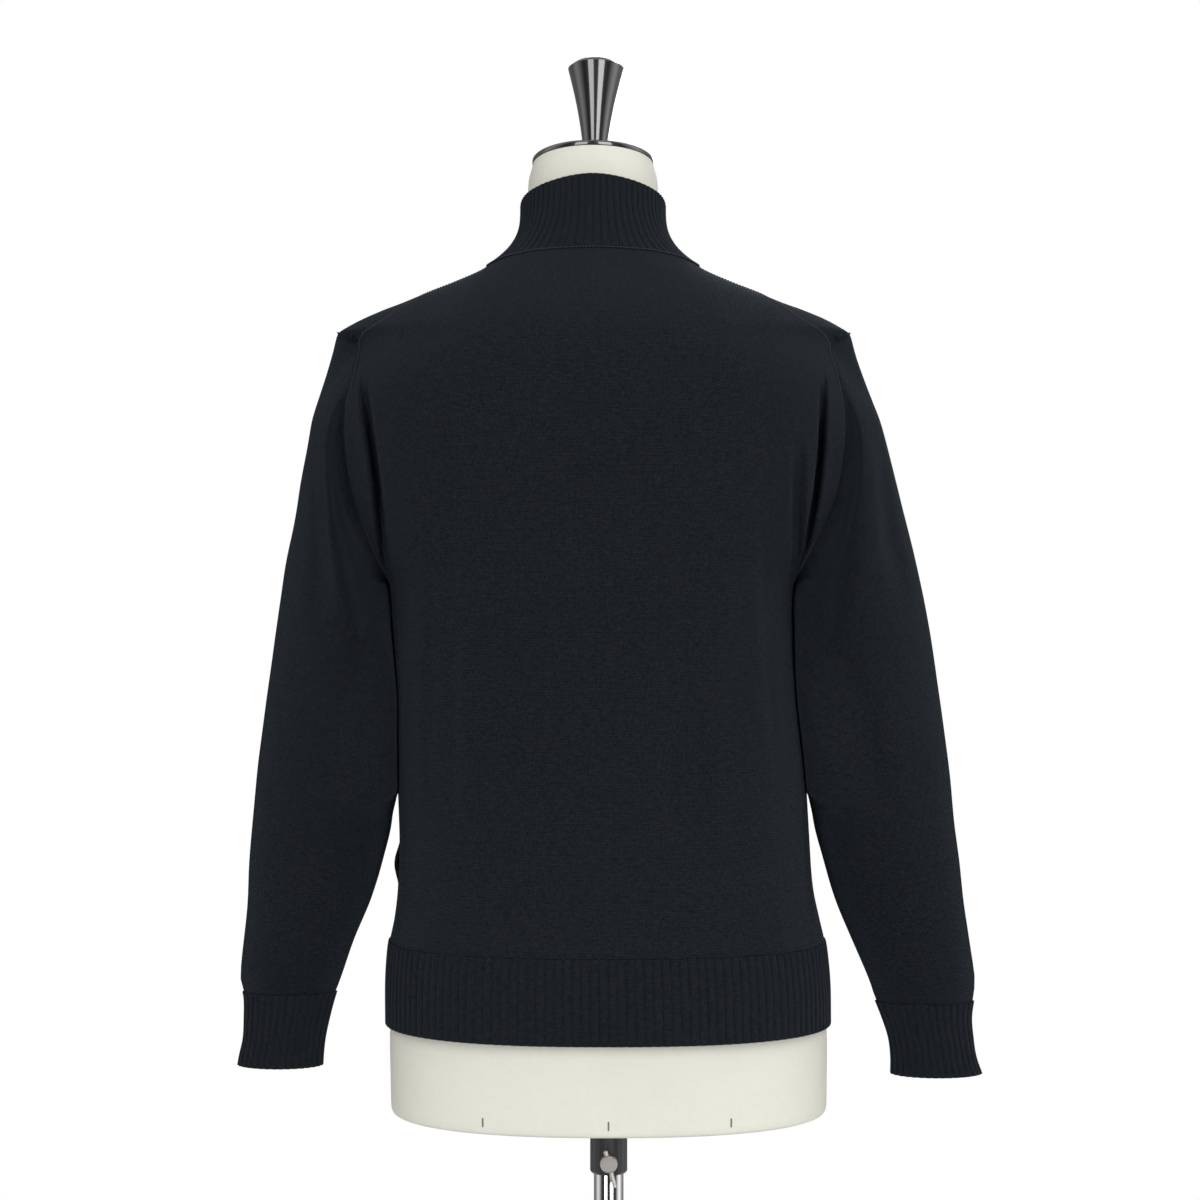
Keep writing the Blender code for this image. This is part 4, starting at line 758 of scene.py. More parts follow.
def trough(grid, distance, deep, wide):
    """A soft trough beside the armhole seam, between its lowest part and the shoulder."""
    z = grid[..., 2]
    (start, rise), (end, fall) = TROUGH_START, TROUGH_END
    level = np.clip((z - start) / rise, 0, 1) * np.clip((end - z) / fall, 0, 1)
    level = level * level * (3 - 2 * level)
    share = distance / wide
    return -deep * level * share * np.exp(1 - share)


def unevenness(grid, height, size, seed):
    """A soft random rise and fall of the cloth."""
    shift = Vector((seed * 7.1, seed * 3.3, seed * 5.7))
    return np.array([[height * noise.noise(Vector(point) / size + shift) for point in row] for row in grid])


# Body

def body_panels():
    """Grid and normals of the back and the two fronts, parted by the gap at their seams."""
    back = grid_of(half_panel(-1, "back")[:0:-1] + half_panel(1, "back"))
    left = grid_of(half_panel(1, "front")[::-1])
    right = grid_of(half_panel(-1, "front"))
    panels = {}
    known = NECK_ROWS * ROW_PARTS
    for name, grid in (("back", back), ("front_left", left), ("front_right", right)):
        normals = normals_of(grid[..., :3])
        normals[:known] = grid[:known, :, 3:]
        panels[name] = [grid[..., :3], normals]
    below = (len(SIDE_HEIGHTS) + 1) * ROW_PARTS + 1
    shoulder = len(SHOULDER_COLUMNS) * COLUMN_PARTS + 1
    seams = (
        ("front_left", np.s_[-below:, 0], np.s_[-below:, 1], np.s_[-below:, -1]),
        ("front_right", np.s_[-below:, -1], np.s_[-below:, -2], np.s_[-below:, 0]),
        ("front_left", np.s_[0, :shoulder], np.s_[1, :shoulder], np.s_[0, :-shoulder - 1:-1]),
        ("front_right", np.s_[0, -shoulder:], np.s_[1, -shoulder:], np.s_[0, shoulder - 1::-1]),
    )
    for name, own, beside, across in seams:
        grid, normals = panels[name]
        shared = unit(normals[own] + panels["back"][1][across])
        normals[own] = shared
        panels["back"][1][across] = shared
        grid[own] = step_off(grid[own], shared, grid[beside])
    return panels


def armhole(side):
    """The armhole's places in the panels: up the back from the armpit, and down the front."""
    front = "front_left" if side > 0 else "front_right"
    back_column, front_column = (-1, 0) if side > 0 else (0, -1)
    up = len(ARMHOLE_HEIGHTS_BACK) * ROW_PARTS
    down = (len(ARMHOLE_HEIGHTS_FRONT) + len(SHARES_OVER_RIDGE)) * ROW_PARTS
    return ([("back", row, back_column) for row in range(up, -1, -1)]
            + [(front, row, front_column) for row in range(1, down)]), (front, down, front_column)


# Sleeves and cuffs

def inward_share(turn):
    """1 on the sleeve's inner side, 0 on its outer side."""
    return 0.5 + 0.5 * math.cos(TURN * turn)


def side_lines(side, outer_z, inner_z):
    """x of the hanging sleeve's outer and inner line at two heights."""
    column = 0 if side > 0 else 1
    return read(SLEEVE_TABLE, S_OUTER + column, outer_z), read(SLEEVE_TABLE, S_INNER + column, inner_z)


def sleeve_point(share, turn, side):
    """A point of the plain sleeve; turn is 0 on the inner side, 0.25 at the back, 0.5 outside."""
    drop = (CUFF_SEAM[side] - RING_TABLE[-1][R_OUTER]) * share
    outer_z = read(RING_TABLE, R_OUTER, share) + drop
    inner_z = read(RING_TABLE, R_INNER, share) + drop
    inward = inward_share(turn)
    outer_x, inner_x = side_lines(side, outer_z, inner_z)
    sway = math.sin(TURN * turn)
    deep = read(RING_TABLE, R_BACK if sway > 0 else R_FRONT, share)
    return np.array((side * (outer_x + (inner_x - outer_x) * inward),
                     sway * deep, outer_z + (inner_z - outer_z) * inward))


def sleeve_fold(point, turn, side):
    """How far the sleeve's folds draw a point in."""
    total = 0.0
    for fold_side, turn_top, turn_bottom, top, bottom, half_width, deep in SLEEVE_FOLDS:
        if fold_side == side and bottom < point[2] < top:
            t = (top - point[2]) / (top - bottom)
            centre = turn_top + (turn_bottom - turn_top) * t
            total += deep * math.sin(math.pi * t) * hump((turn - centre) / half_width)
    return total


def rest_on_body(point, turn, side):
    """The sleeve's inner side lies against the body, whose side rounds away before and behind it."""
    z = point[2]
    from_inside = turn if turn < 0.5 else 1 - turn
    reach = REST_REACH + REST_REACH * smooth_step((ARMPIT_Z - z) / REST_SPREAD)
    near = smooth_step((reach - from_inside) / (0.5 * reach))
    near *= smooth_step((z - REST_LOW) / 25.0) * smooth_step((ARMPIT_Z + 6 - z) / 8.0)
    if near == 0.0:
        return
    aside = min(REST_ROUND, abs(point[1]) / full_depth(z, point[1] > 0))
    touch = half_width(z, side) * round_off(aside) + REST_GAP
    if touch < side * point[0]:
        point[0] += (side * touch - point[0]) * near


def sleeve_grid(seam, side):
    """Rings of the sleeve from the armhole to the cuff, which ease from the armhole's own shape."""
    count = len(seam)
    top_z, low_z = RING_TABLE[0][R_OUTER], RING_TABLE[0][R_INNER]
    highest = int(np.argmax(seam[:, 2]))
    turns = []
    for i, point in enumerate(seam):
        inward = min(max((top_z - point[2]) / (top_z - low_z), 0.0), 1.0)
        turn = math.acos(2 * inward - 1) / TURN
        turns.append(turn if i <= highest else 1 - turn)
    rings = []
    for share in refined(SLEEVE_SHARES, SLEEVE_PARTS):
        ring = []
        for i, start in enumerate(turns):
            ease = smooth_step(share / TURN_EASE)
            turn = start + (i / count - start) * ease
            own_shape = 1 - smooth_step(share / SHAPE_EASE)
            point = sleeve_point(share, turn, side)
            point += (seam[i] - sleeve_point(0.0, start, side)) * own_shape
            roll = math.sin(math.pi * min(1.0, share / ROLL_LENGTH) ** ROLL_EARLY)
            point[0] += side * SLEEVE_ROLL * roll * abs(math.sin(TURN * turn))
            centre = 0.5 * (sleeve_point(share, 0.0, side) + sleeve_point(share, 0.5, side))
            point[:2] += unit(centre[:2] - point[:2]) * sleeve_fold(point, turn, side)
            rest_on_body(point, turn, side)
            ring.append(tuple(point))
        rings.append(ring)
    return np.array(rings)


def sleeve_shape(panels, side):
    """Grid and normals of a sleeve; its seam's normals are shared with the panels' armhole edges."""
    places, armpit = armhole(side)
    seam = np.array([panels[name][0][row, column] for name, row, column in places])
    grid = sleeve_grid(seam, side)
    if side < 0:
        grid = np.roll(grid[:, ::-1], 1, axis=1)
        places = places[:1] + places[:0:-1]
    normals = normals_of(grid, closed=True)
    for i, (name, row, column) in enumerate(places):
        shared = unit(normals[0, i] + panels[name][1][row, column])
        normals[0, i] = shared
        panels[name][1][row, column] = shared
        if row == 0:
            panels[armpit[0]][1][0, armpit[2]] = shared
        if name == "back" and row == len(ARMHOLE_HEIGHTS_BACK) * ROW_PARTS:
            panels[armpit[0]][1][armpit[1], armpit[2]] = shared
    looped = [np.concatenate((row[-1:], row, row[:1])) for row in (grid[0], normals[0], grid[1])]
    grid[0] = step_off(*looped)[1:-1]
    return grid, normals


def rib_rise(columns, count, rise):
    """Height of round ribs over narrow grooves, for a number of columns across the ribs."""
    phase = (np.arange(columns) * count / (columns - 1)) % 1.0
    return rise * (1 - np.abs(2 * phase - 1) ** RIB_ROUND)[None, :, None]


def ribbed_piece(name, grid, normals, paint, count, closed=False):
    """A ribbed shell, with round ribs over narrow grooves on its outer side."""
    if closed:
        grid = np.concatenate((grid, grid[:, :1]), axis=1)
        normals = np.concatenate((normals, normals[:, :1]), axis=1)
    height = rib_rise(grid.shape[1], count, RIB_RISE)
    outer = grid + normals * height
    inner = (grid - normals * RIB_WALL)[:, ::COLUMNS_A_RIB]
    if closed:
        outer, inner = outer[:, :-1], inner[:, :-1]
    return shell_piece(name, outer, inner, paint, closed)


def build_cuff(top, top_normals, side, name, paint):
    """The cuff hangs from the sleeve's last ring and opens a little at its edge."""
    spans = COLUMNS_A_RIB * CUFF_RIBS
    loop = np.hstack((np.vstack((top, top[:1])), np.vstack((top_normals, top_normals[:1]))))
    first = resample(loop, spans)[:-1]
    shares = np.linspace(0, 1, CUFF_ROWS)
    rings = []
    for share in shares:
        z = CUFF_SEAM[side] - GAP + (CUFF_EDGE[side] - CUFF_SEAM[side] + GAP) * share
        spread = CUFF_DEEP[0] + CUFF_DEEP[1] * share
        outer_x, inner_x = side_lines(side, z, z)
        ring = []
        for i in range(CUFF_STEPS + 1):
            turn = side * i / CUFF_STEPS
            sway = math.sin(TURN * turn)
            deep = RING_TABLE[-1][R_BACK if sway > 0 else R_FRONT] * spread
            ring.append((side * (outer_x + (inner_x - outer_x) * inward_share(turn)), sway * deep, z))
        rings.append(resample(np.array(ring), spans)[:-1])
    grid = np.array(rings)
    ease = np.array([1 - smooth_step(share / CUFF_EASE) for share in shares])
    grid += ease[:, None, None] * (first[:, :3] - (0, 0, GAP) - grid[0])
    normals = normals_of(grid, closed=True)
    normals[0] = unit(first[:, 3:])
    return grid, ribbed_piece(name, grid, normals, paint, CUFF_RIBS, closed=True)


# Hem and collar

def body_ring(z, side, face):
    """A fine section of the body at a height, from the centre to the side seam."""
    start = 0.0 if face == "back" else column_u(ZIP_HALF, side, face)
    ring = []
    for u in np.linspace(start, 1.0, HEM_STEPS):
        x = lateral(u, z, side, face)
        out = depth(x, z, side, face)
        ring.append((side * x, out if face == "back" else -out, z))
    if face == "front":
        ring[0] = (side * ZIP_HALF, *ring[0][1:])
    return ring


def hem_grid(panel, face, side, ribs):
    """Unraised rows of one hem piece, the first on the panel's own lower edge."""
    grid, normals = panel
    spans = COLUMNS_A_RIB * ribs
    top = resample(np.hstack((grid[-1], normals[-1])), spans)
    rows = [top[:, :3] - (0, 0, GAP)]
    for z in np.linspace(HEM_SEAM, HEM_EDGE, HEM_ROWS)[1:]:
        if face == "back":
            ring = body_ring(z, -1, "back")[:0:-1] + body_ring(z, 1, "back")
        elif side > 0:
            ring = body_ring(z, 1, "front")[::-1]
        else:
            ring = body_ring(z, -1, "front")
        rows.append(resample(np.array(ring), spans))
    grid = np.array(rows)
    own = normals_of(grid)
    own[0] = unit(top[:, 3:])
    return [grid, own]


def build_hem(panels, paint):
    hems = {
        "hem_back": hem_grid(panels["back"], "back", 0, HEM_RIBS_BACK),
        "hem_front_left": hem_grid(panels["front_left"], "front", 1, HEM_RIBS_FRONT),
        "hem_front_right": hem_grid(panels["front_right"], "front", -1, HEM_RIBS_FRONT),
    }
    for name, column, across in (("hem_front_left", 0, -1), ("hem_front_right", -1, 0)):
        grid, normals = hems[name]
        shared = unit(normals[1:, column] + hems["hem_back"][1][1:, across])
        normals[1:, column] = shared
        hems["hem_back"][1][1:, across] = shared
        beside = 1 if column == 0 else -2
        grid[1:, column] = step_off(grid[1:, column], shared, grid[1:, beside])
    for name, (grid, normals) in hems.items():
        count = HEM_RIBS_BACK if name == "hem_back" else HEM_RIBS_FRONT
        piece = ribbed_piece(name + "_rib", grid, normals, paint, count)
        finish_cloth(piece, name, grid)
    return hems


def collar_top():
    """The collar's upper edge from the right front edge round the back to the left front edge."""
    ring = []
    for share in np.linspace(0.0, 0.5, COLLAR_STEPS):
        x, y, z = (read(COLLAR_TOP_TABLE, column, share) for column in (1, 2, 3))
        if -x <= -ZIP_HALF or y > 0:
            ring.append([-x, y, z])
    ring.insert(0, [-ZIP_HALF, ring[0][1], ring[0][2]])
    return np.array(ring + [[-x, y, z] for x, y, z in ring[-2::-1]])


def collar_grid(panels):
    back, left, right = panels["back"], panels["front_left"], panels["front_right"]
    neck = (len(COLUMNS_FRONT) - len(SHOULDER_COLUMNS)) * COLUMN_PARTS
    across = len(SHOULDER_COLUMNS) * COLUMN_PARTS
    pieces = []
    for part in (0, 1):
        pieces.append(np.concatenate((
            right[part][:2, :neck],
            0.5 * (right[part][:2, neck] + back[part][:2, across])[:, None],
            back[part][:2, across + 1:-across - 1],
            0.5 * (left[part][:2, -neck - 1] + back[part][:2, -across - 1])[:, None],
            left[part][:2, -neck:]), axis=1))
    (seam, below), (seam_normals, _) = pieces
    seam_normals = unit(seam_normals)
    base = step_off(seam, seam_normals, 2 * seam - below, 1.5 * GAP)
    spans = COLUMNS_A_RIB * COLLAR_RIBS
    first = resample(np.hstack((base, seam_normals)), spans)
    top = resample(collar_top(), spans)
    rows = []
    rise = top - first[:, :3]
    for share in np.linspace(0, 1, COLLAR_ROWS):
        drawn_in = 1 - (1 - share) ** COLLAR_FLARE
        level = first[:, :3] + rise * share
        level[:, :2] = first[:, :2] + rise[:, :2] * drawn_in
        rows.append(level)
    grid = np.array(rows[::-1])
    normals = normals_of(grid)
    normals[-1] = unit(first[:, 3:])
    return [grid, normals]


# Linking stitches

def spaced_path(points, outs, step, parts=1):
    """Even steps along a line with their outward directions, each cut into parts, and their number."""
    length = np.linalg.norm(np.diff(points, axis=0), axis=1).sum()
    count = parts * int(length / step)
    return count, resample(np.hstack((points, outs)), count)


def spot_on(path, i):
    """A point of a path, its outward direction and the direction along the path."""
    return path[i, :3], unit(path[i, 3:]), unit(path[i + 1, :3] - path[i - 1, :3])


def stitch_line(name, points, normals, paint):
    """A chain of small loops of yarn along a seam, each a little askew."""
    count, path = spaced_path(points, unit(normals), STITCH_PITCH, 2)
    half, wide, high = STITCH_SIZE
    bumps = bmesh.new()
    for i in range(1, count, 2):
        point, out, along = spot_on(path, i)
        along = unit(along + STITCH_ASKEW * np.cross(out, along))
        aside = np.cross(out, along)
        spots = (along * half, aside * wide, -along * half, -aside * wide)
        base = [bumps.verts.new(place(*(point + spot + out * 0.25 * high))) for spot in spots]
        top = [bumps.verts.new(place(*(point + 0.5 * spot + out * high))) for spot in spots]
        low = bumps.verts.new(place(*(point - out * high)))
        bumps.faces.new(top)
        for k in range(4):
            after = (k + 1) % 4
            bumps.faces.new((base[k], base[after], top[after], top[k]))
            bumps.faces.new((base[after], base[k], low))
    thing = object_of(name, bumps, paint)
    thing.data.shade_smooth()
    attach(thing, "torso")


def seam_lines(panels, collar, paint):
    """Rows of linking stitches on the collar's seam, the shoulders and the armholes."""
    grid, normals = collar
    stitch_line("collar_linking", grid[-1] + normals[-1], normals[-1], paint)
    for side, name in ((1, "left"), (-1, "right")):
        front = panels["front_" + name]
        shoulder = len(SHOULDER_COLUMNS) * COLUMN_PARTS + 1
        columns = np.s_[:shoulder] if side > 0 else np.s_[-shoulder:]
        stitch_line("shoulder_linking_" + name, front[0][0, columns], front[1][0, columns], paint)
        places = armhole(side)[0]
        seam = np.array([panels[piece][0][row, column] for piece, row, column in places])
        out = np.array([panels[piece][1][row, column] for piece, row, column in places])
        stitch_line("armhole_linking_" + name, seam, out, paint)


# Zip

def zip_path(panels, hems, collar):
    """Points down the middle of the zip with their outward directions, every millimetre or so."""
    points, outs = [], []
    for grid, normals in (collar, panels["front_left"], hems["hem_front_left"]):
        points += [*(grid[:, -1] * (0, 1, 1))]
        outs += [*(normals[:, -1] * (0, 1, 1))]
    return np.array(points), unit(np.array(outs))


def build_teeth(points, outs, paint):
    """Interlocked teeth, in turn from the left and the right tape."""
    count, path = spaced_path(points, outs, TOOTH_STEP)
    teeth = bmesh.new()
    for i in range(3, count - 1):
        point, out, along = spot_on(path, i)
        side = 1 if i % 2 else -1
        for near, far, tall in TOOTH_BLOCKS:
            corners = []
            for x, top in (near, far):
                for up in (-tall / 2, tall / 2):
                    for lift in (TOOTH_BOTTOM, top):
                        spot = point + along * up + out * lift + np.array((side * x, 0, 0))
                        corners.append(teeth.verts.new(place(*spot)))
            for loop in ((0, 1, 3, 2), (4, 6, 7, 5), (0, 4, 5, 1), (2, 3, 7, 6), (0, 2, 6, 4), (1, 5, 7, 3)):
                teeth.faces.new([corners[k] for k in loop])
    return object_of("zip_teeth", teeth, paint)


# Dress form and stand

def build_form(paint):
    """The covered form: a fine loft of the torso and neck."""
    turns = np.linspace(0, TURN, FORM_STEPS + 1)[:-1]
    heights = refined([row[0] for row in FORM_TABLE], 6)
    rows = []
    for z in heights:
        half, back, front, roundness = (read(FORM_TABLE, i, z) for i in (1, 2, 3, 4))
        slope = math.tan(math.radians(NECK_TILT)) * smooth_step((z - NECK_FOOT) / (NECK_TOP - NECK_FOOT))
        row = []
        for turn in turns:
            sine, cosine = math.sin(turn), math.cos(turn)
            x = math.copysign(abs(sine) ** (2 / roundness), sine) * half
            y = math.copysign(abs(cosine) ** (2 / roundness), cosine) * (back if cosine > 0 else front)
            row.append((x, y, z + y * slope))
        rows.append(row)
    grid = np.array(rows)
    rows, columns = grid.shape[:2]
    points = [*grid.reshape(-1, 3)]
    hole = len(points)
    points += [(SOCKET_HOLE * math.sin(turn), SOCKET_HOLE * math.cos(turn), heights[0]) for turn in turns]
    faces = []
    for j in range(columns):
        after = (j + 1) % columns
        for k in range(0, hole - columns, columns):
            faces.append((k + j, k + after, k + columns + after, k + columns + j))
        faces.append((j, hole + j, hole + after, after))
    faces.append(tuple((rows - 1) * columns + j for j in range(columns)))
    uvs = np.zeros((len(points), 2))
    uvs[:hole] = cloth_uv(grid).reshape(-1, 2)
    return new_piece("form_cover", points, faces, paint, uvs)


def form_marks(paint):
    """Short marks drawn on the form's cover above its lower back edge."""
    low, high = MARK_HEIGHTS
    for name, centre in MARKS:
        points = []
        for z in (low, 0.5 * (low + high), high):
            half, back, roundness = (read(FORM_TABLE, i, z) for i in (1, 2, 4))
            for x in (centre - MARK_WIDTH / 2, centre + MARK_WIDTH / 2):
                y = back * round_off(abs(x) / half, roundness)
                points += [(x, y + MARK_LIFT, z), (x, y - MARK_SINK, z)]
        faces = [(0, 2, 3, 1), (8, 9, 11, 10)]
        for k in (0, 4):
            faces += [(k, k + 4, k + 6, k + 2), (k + 1, k + 3, k + 7, k + 5),
                      (k, k + 1, k + 5, k + 4), (k + 2, k + 6, k + 7, k + 3)]
        mark = new_piece("form_mark_" + name, points, faces, paint)
        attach(mark, "torso")


def lathe(name, profile, paint, matrix, steps=112, angle=35.0):
    """A turned piece from a profile of radius and height, in millimetres, that runs down its outer side."""
    shell = bmesh.new()
    turns = [TURN * i / steps for i in range(steps)]
    rings = []
    for radius, z in profile:
        spots = [(radius * MM * math.cos(turn), radius * MM * math.sin(turn)) for turn in turns]
        if radius < 1e-6:
            spots = [(0, 0)]
        rings.append([shell.verts.new((*spot, z * MM)) for spot in spots])
    for upper, lower in zip(rings, rings[1:]):
        for i in range(steps):
            after = (i + 1) % steps
            loop = []
            for vertex in (upper[i % len(upper)], upper[after % len(upper)],
                           lower[after % len(lower)], lower[i % len(lower)]):
                if vertex not in loop:
                    loop.append(vertex)
            if len(loop) > 2:
                shell.faces.new(loop)
    thing = object_of(name, shell, paint)
    thing.data.transform(matrix)
    smooth(thing.data, angle)
    return thing


def rounded_profile(table, parts=6):
    """A smooth curve through a turned piece's points."""
    points = np.array(table, dtype=float)
    ends = np.vstack((2 * points[0] - points[1], points, 2 * points[-1] - points[-2]))
    curve = []
    for a, b, c, d in zip(ends, ends[1:], ends[2:], ends[3:]):
        for i in range(parts):
            t = i / parts
            curve.append(0.5 * (2 * b + (c - a) * t + (2 * a - 5 * b + 4 * c - d) * t**2
                                + (3 * b - a - 3 * c + d) * t**3))
    curve.append(points[-1])
    return [(max(radius, 0.0), z) for radius, z in curve]


def build_neck(paint):
    """The black cap on the neck and the turned knob on the cap."""
    matrix = Matrix.Translation(place(0, 0, NECK_TOP)) @ Matrix.Rotation(math.radians(NECK_TILT), 4, "X")
    edge = CAP_THICKNESS + GAP
    dome = [(CAP_RADIUS * math.sin(a), edge - CAP_EDGE + (CAP_DOME + CAP_EDGE) * math.cos(a))
            for a in np.linspace(0, math.pi / 2, 24)]
    dome[0] = (0, edge + CAP_DOME)
    under = [(CAP_RADIUS, GAP + CAP_EDGE), (CAP_RADIUS - 0.4, GAP + 0.5), (CAP_RADIUS - 1.4, GAP), (0, GAP)]
    cap_piece = lathe("neck_cap_gloss", dome + under, paint, matrix)
    foot = edge + CAP_DOME + GAP
    profile = rounded_profile([(radius, foot + height) for height, radius in reversed(KNOB_PROFILE)])
    askew = Matrix.Translation((KNOB_ASIDE * MM, 0, 0)) @ matrix @ Matrix.Rotation(KNOB_TURN, 4, "Y")
    return cap_piece, lathe("knob_gloss", profile + [(0, foot)], paint, askew)


# Materials

def set_inputs(node, **values):
    """Sets inputs of a node; an underscore stands for a space in an input's name."""
    for name, value in values.items():
        node.inputs[name.replace("_", " ")].default_value = value


def shader_of(paint):
    return paint.node_tree.nodes["Principled BSDF"]


def new_paint(name, colour, roughness, metallic=0.0):
    paint = bpy.data.materials.new(name)
    paint.use_nodes = True
    set_inputs(shader_of(paint), Base_Color=(*colour, 1.0), Roughness=roughness, Metallic=metallic)
    return paint


class Nodes:
    """Short calls for adding nodes to a material."""

    def __init__(self, paint):
        self.tree = paint.node_tree

    def add(self, kind, **settings):
        node = self.tree.nodes.new("ShaderNode" + kind)
        for name, value in settings.items():
            setattr(node, name, value)
        return node

    def link(self, output, entry):
        self.tree.links.new(output, entry)

    def enter(self, entry, value):
        """Sets a socket to a number or colour, or links it to another node's output."""
        if isinstance(value, bpy.types.NodeSocket):
            self.link(value, entry)
        else:
            entry.default_value = value if isinstance(value, (int, float)) else (*value, 1.0)

    def math(self, operation, first, second=0.0):
        node = self.add("Math", operation=operation)
        self.enter(node.inputs[0], first)
        self.enter(node.inputs[1], second)
        return node.outputs[0]

    def times(self, first, second):
        return self.math("MULTIPLY", first, second)

    def plus(self, first, second):
        return self.math("ADD", first, second)

    def noise(self, where, scale, detail):
        node = self.add("TexNoise")
        set_inputs(node, Scale=scale, Detail=detail)
        self.link(where, node.inputs["Vector"])
        return node.outputs[0]

    def parts(self, vector):
        """The three parts of a vector."""
        node = self.add("SeparateXYZ")
        self.link(vector, node.inputs[0])
        return node.outputs

    def place(self):
        """Where a point of the surface is, in metres."""
        return self.add("TexCoord").outputs["Object"]

    def blend(self, share, first, second, how="MIX"):
        node = self.add("Mix", data_type="RGBA", blend_type=how)
        self.enter(node.inputs[0], share)
        self.enter(node.inputs[6], first)
        self.enter(node.inputs[7], second)
        return node.outputs[2]

    def relief(self, shader, height, strength, distance):
        node = self.add("Bump")
        set_inputs(node, Strength=strength, Distance=distance)
        self.link(height, node.inputs["Height"])
        self.link(node.outputs[0], shader.inputs["Normal"])


def knit_paint(name, colour, wale, course, bump, sheen):
    """Knitted cloth: slanting halves of each stitch across the wales, on the piece's own distances."""
    paint = new_paint(name, colour, 0.9)
    shader = shader_of(paint)
    nodes = Nodes(paint)
    uv = nodes.add("UVMap", uv_map="cloth").outputs[0]
    across, along, _ = nodes.parts(uv)
    u = nodes.math("DIVIDE", across, wale)
    v = nodes.math("DIVIDE", along, course)
    fold = nodes.math("ABSOLUTE", nodes.math("SUBTRACT", nodes.math("FRACT", u), 0.5))
    slant = nodes.plus(v, nodes.times(fold, 0.9))
    stitch = nodes.math("ABSOLUTE", nodes.math("SINE", nodes.times(slant, math.pi)))
    leg = nodes.math("ABSOLUTE", nodes.math("SINE", nodes.times(u, TURN)))
    where = nodes.place()
    ramp = nodes.add("MapRange")
    nodes.enter(ramp.inputs[0], nodes.parts(where)[2])
    for entry, value in zip(ramp.inputs[1:5], (*WALES_SHOW, 1.0, 0.1)):
        entry.default_value = value
    lower = ramp.outputs[0]
    height = nodes.times(nodes.math("POWER", stitch, lower), nodes.math("POWER", leg, 0.5))
    fuzz = nodes.times(nodes.noise(where, 900.0, 3.0), 0.4)
    nodes.relief(shader, nodes.plus(height, fuzz), bump, 0.0006)
    stretch = nodes.add("Mapping")
    set_inputs(stretch, Scale=(0.25, 1.0, 1.0))
    nodes.link(uv, stretch.inputs[0])
    streaks = nodes.blend(lower, (0.5, 0.5, 0.5), nodes.noise(stretch.outputs[0], 0.9 / course, 1.0))
    specks = nodes.noise(where, 420.0, 2.0)
    patches = nodes.noise(where, 9.0, 4.0)
    # The tone follows each stitch's height, with painted shade in its grooves and lighter on its top, and
    # varies at random with streaks, specks and patches
    lift = nodes.times(height, STITCH_SHADE_SHARE)
    for source, share in zip((streaks, specks, patches), KNIT_SHARES):
        lift = nodes.plus(lift, nodes.times(nodes.math("SUBTRACT", source, 0.5), share))
    lift = nodes.plus(lift, TONE_START)
    tone = nodes.blend(lift, *([level * c for c in colour] for level in KNIT_TONES))
    tint = nodes.blend(nodes.noise(where, 210.0, 1.0), *KNIT_TINTS)
    nodes.link(nodes.blend(1.0, tone, tint, "MULTIPLY"), shader.inputs["Base Color"])
    set_inputs(shader, Specular_IOR_Level=0.12, Sheen_Weight=sheen, Sheen_Roughness=0.32, Sheen_Tint=SHEEN)
    return paint


def cover_paint():
    """Closely woven cream cotton, stretched over the form."""
    paint = new_paint("form_cotton", LINEN, 0.85)
    shader = shader_of(paint)
    nodes = Nodes(paint)
    threads = [nodes.math("SINE", nodes.times(part, TURN / COTTON_PITCH))
               for part in nodes.parts(nodes.add("UVMap", uv_map="cloth").outputs[0])[:2]]
    where = nodes.place()
    slub = nodes.noise(where, 260.0, 4.0)
    cloud = nodes.noise(where, 14.0, 3.0)
    weave = nodes.times(nodes.times(*threads), 0.4)
    nodes.relief(shader, nodes.plus(weave, slub), 0.25, 0.0003)
    share = nodes.plus(nodes.times(slub, 0.5), nodes.times(cloud, 0.5))
    tone = nodes.blend(share, [0.92 * c for c in LINEN], [1.07 * c for c in LINEN])
    nodes.link(tone, shader.inputs["Base Color"])
    set_inputs(shader, Specular_IOR_Level=0.25)
    return paint


def worn_paint(name, colour, roughness, metallic=0.0, scale=240.0, spread=0.06):
    """A hard finish whose roughness varies a little, with the faintest waviness."""
    paint = new_paint(name, colour, roughness, metallic)
    shader = shader_of(paint)
    nodes = Nodes(paint)
    grain = nodes.noise(nodes.place(), scale, 5.0)
    level = nodes.plus(nodes.times(grain, 2 * spread), roughness - spread)
    nodes.link(level, shader.inputs["Roughness"])
    nodes.relief(shader, grain, 0.05, 0.0002)
    return paint


def gloss_paint(name, roughness, coat_roughness, coat_index):
    """Black paint under a clear glossy coat."""
    paint = worn_paint(name, BLACK, roughness, 0.0, 60.0, 0.03)
    set_inputs(shader_of(paint), Coat_Weight=1.0, Coat_Roughness=coat_roughness, Coat_IOR=coat_index)
    return paint


# Hiding the solids that the pieces stand for, and attaching the pieces

def finish_cloth(piece, node, grid, closed=False):
    """The piece stands for its node and rides on the torso."""
    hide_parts(node)
    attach(piece, "torso")
    if closed:
        grid = np.concatenate((grid, grid[:, :1]), axis=1)


def knit_piece(name, node, grid, normals, dip, paint, closed=False):
    """A shell of plain knit, dipped at its seams."""
    outer = grid + normals * dip[..., None]
    inner = (outer - normals * WALL)[:, ::INNER_RATIO]
    piece = shell_piece(name, outer, inner, paint, closed)
    finish_cloth(piece, node, grid, closed)


def hard_piece(piece, node, body):
    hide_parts(node)
    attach(piece, body)


def dress(node, paint):
    """A solid whose shape is right keeps it and gets this material."""
    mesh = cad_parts[node].data
    mesh.materials.clear()
    mesh.materials.append(paint)


# Making the piece

# Which ends of a panel's rows lie on an armhole: False is the first column, True the last
ARMHOLE_ENDS = {"back": (False, True), "front_left": (False,), "front_right": (True,)}

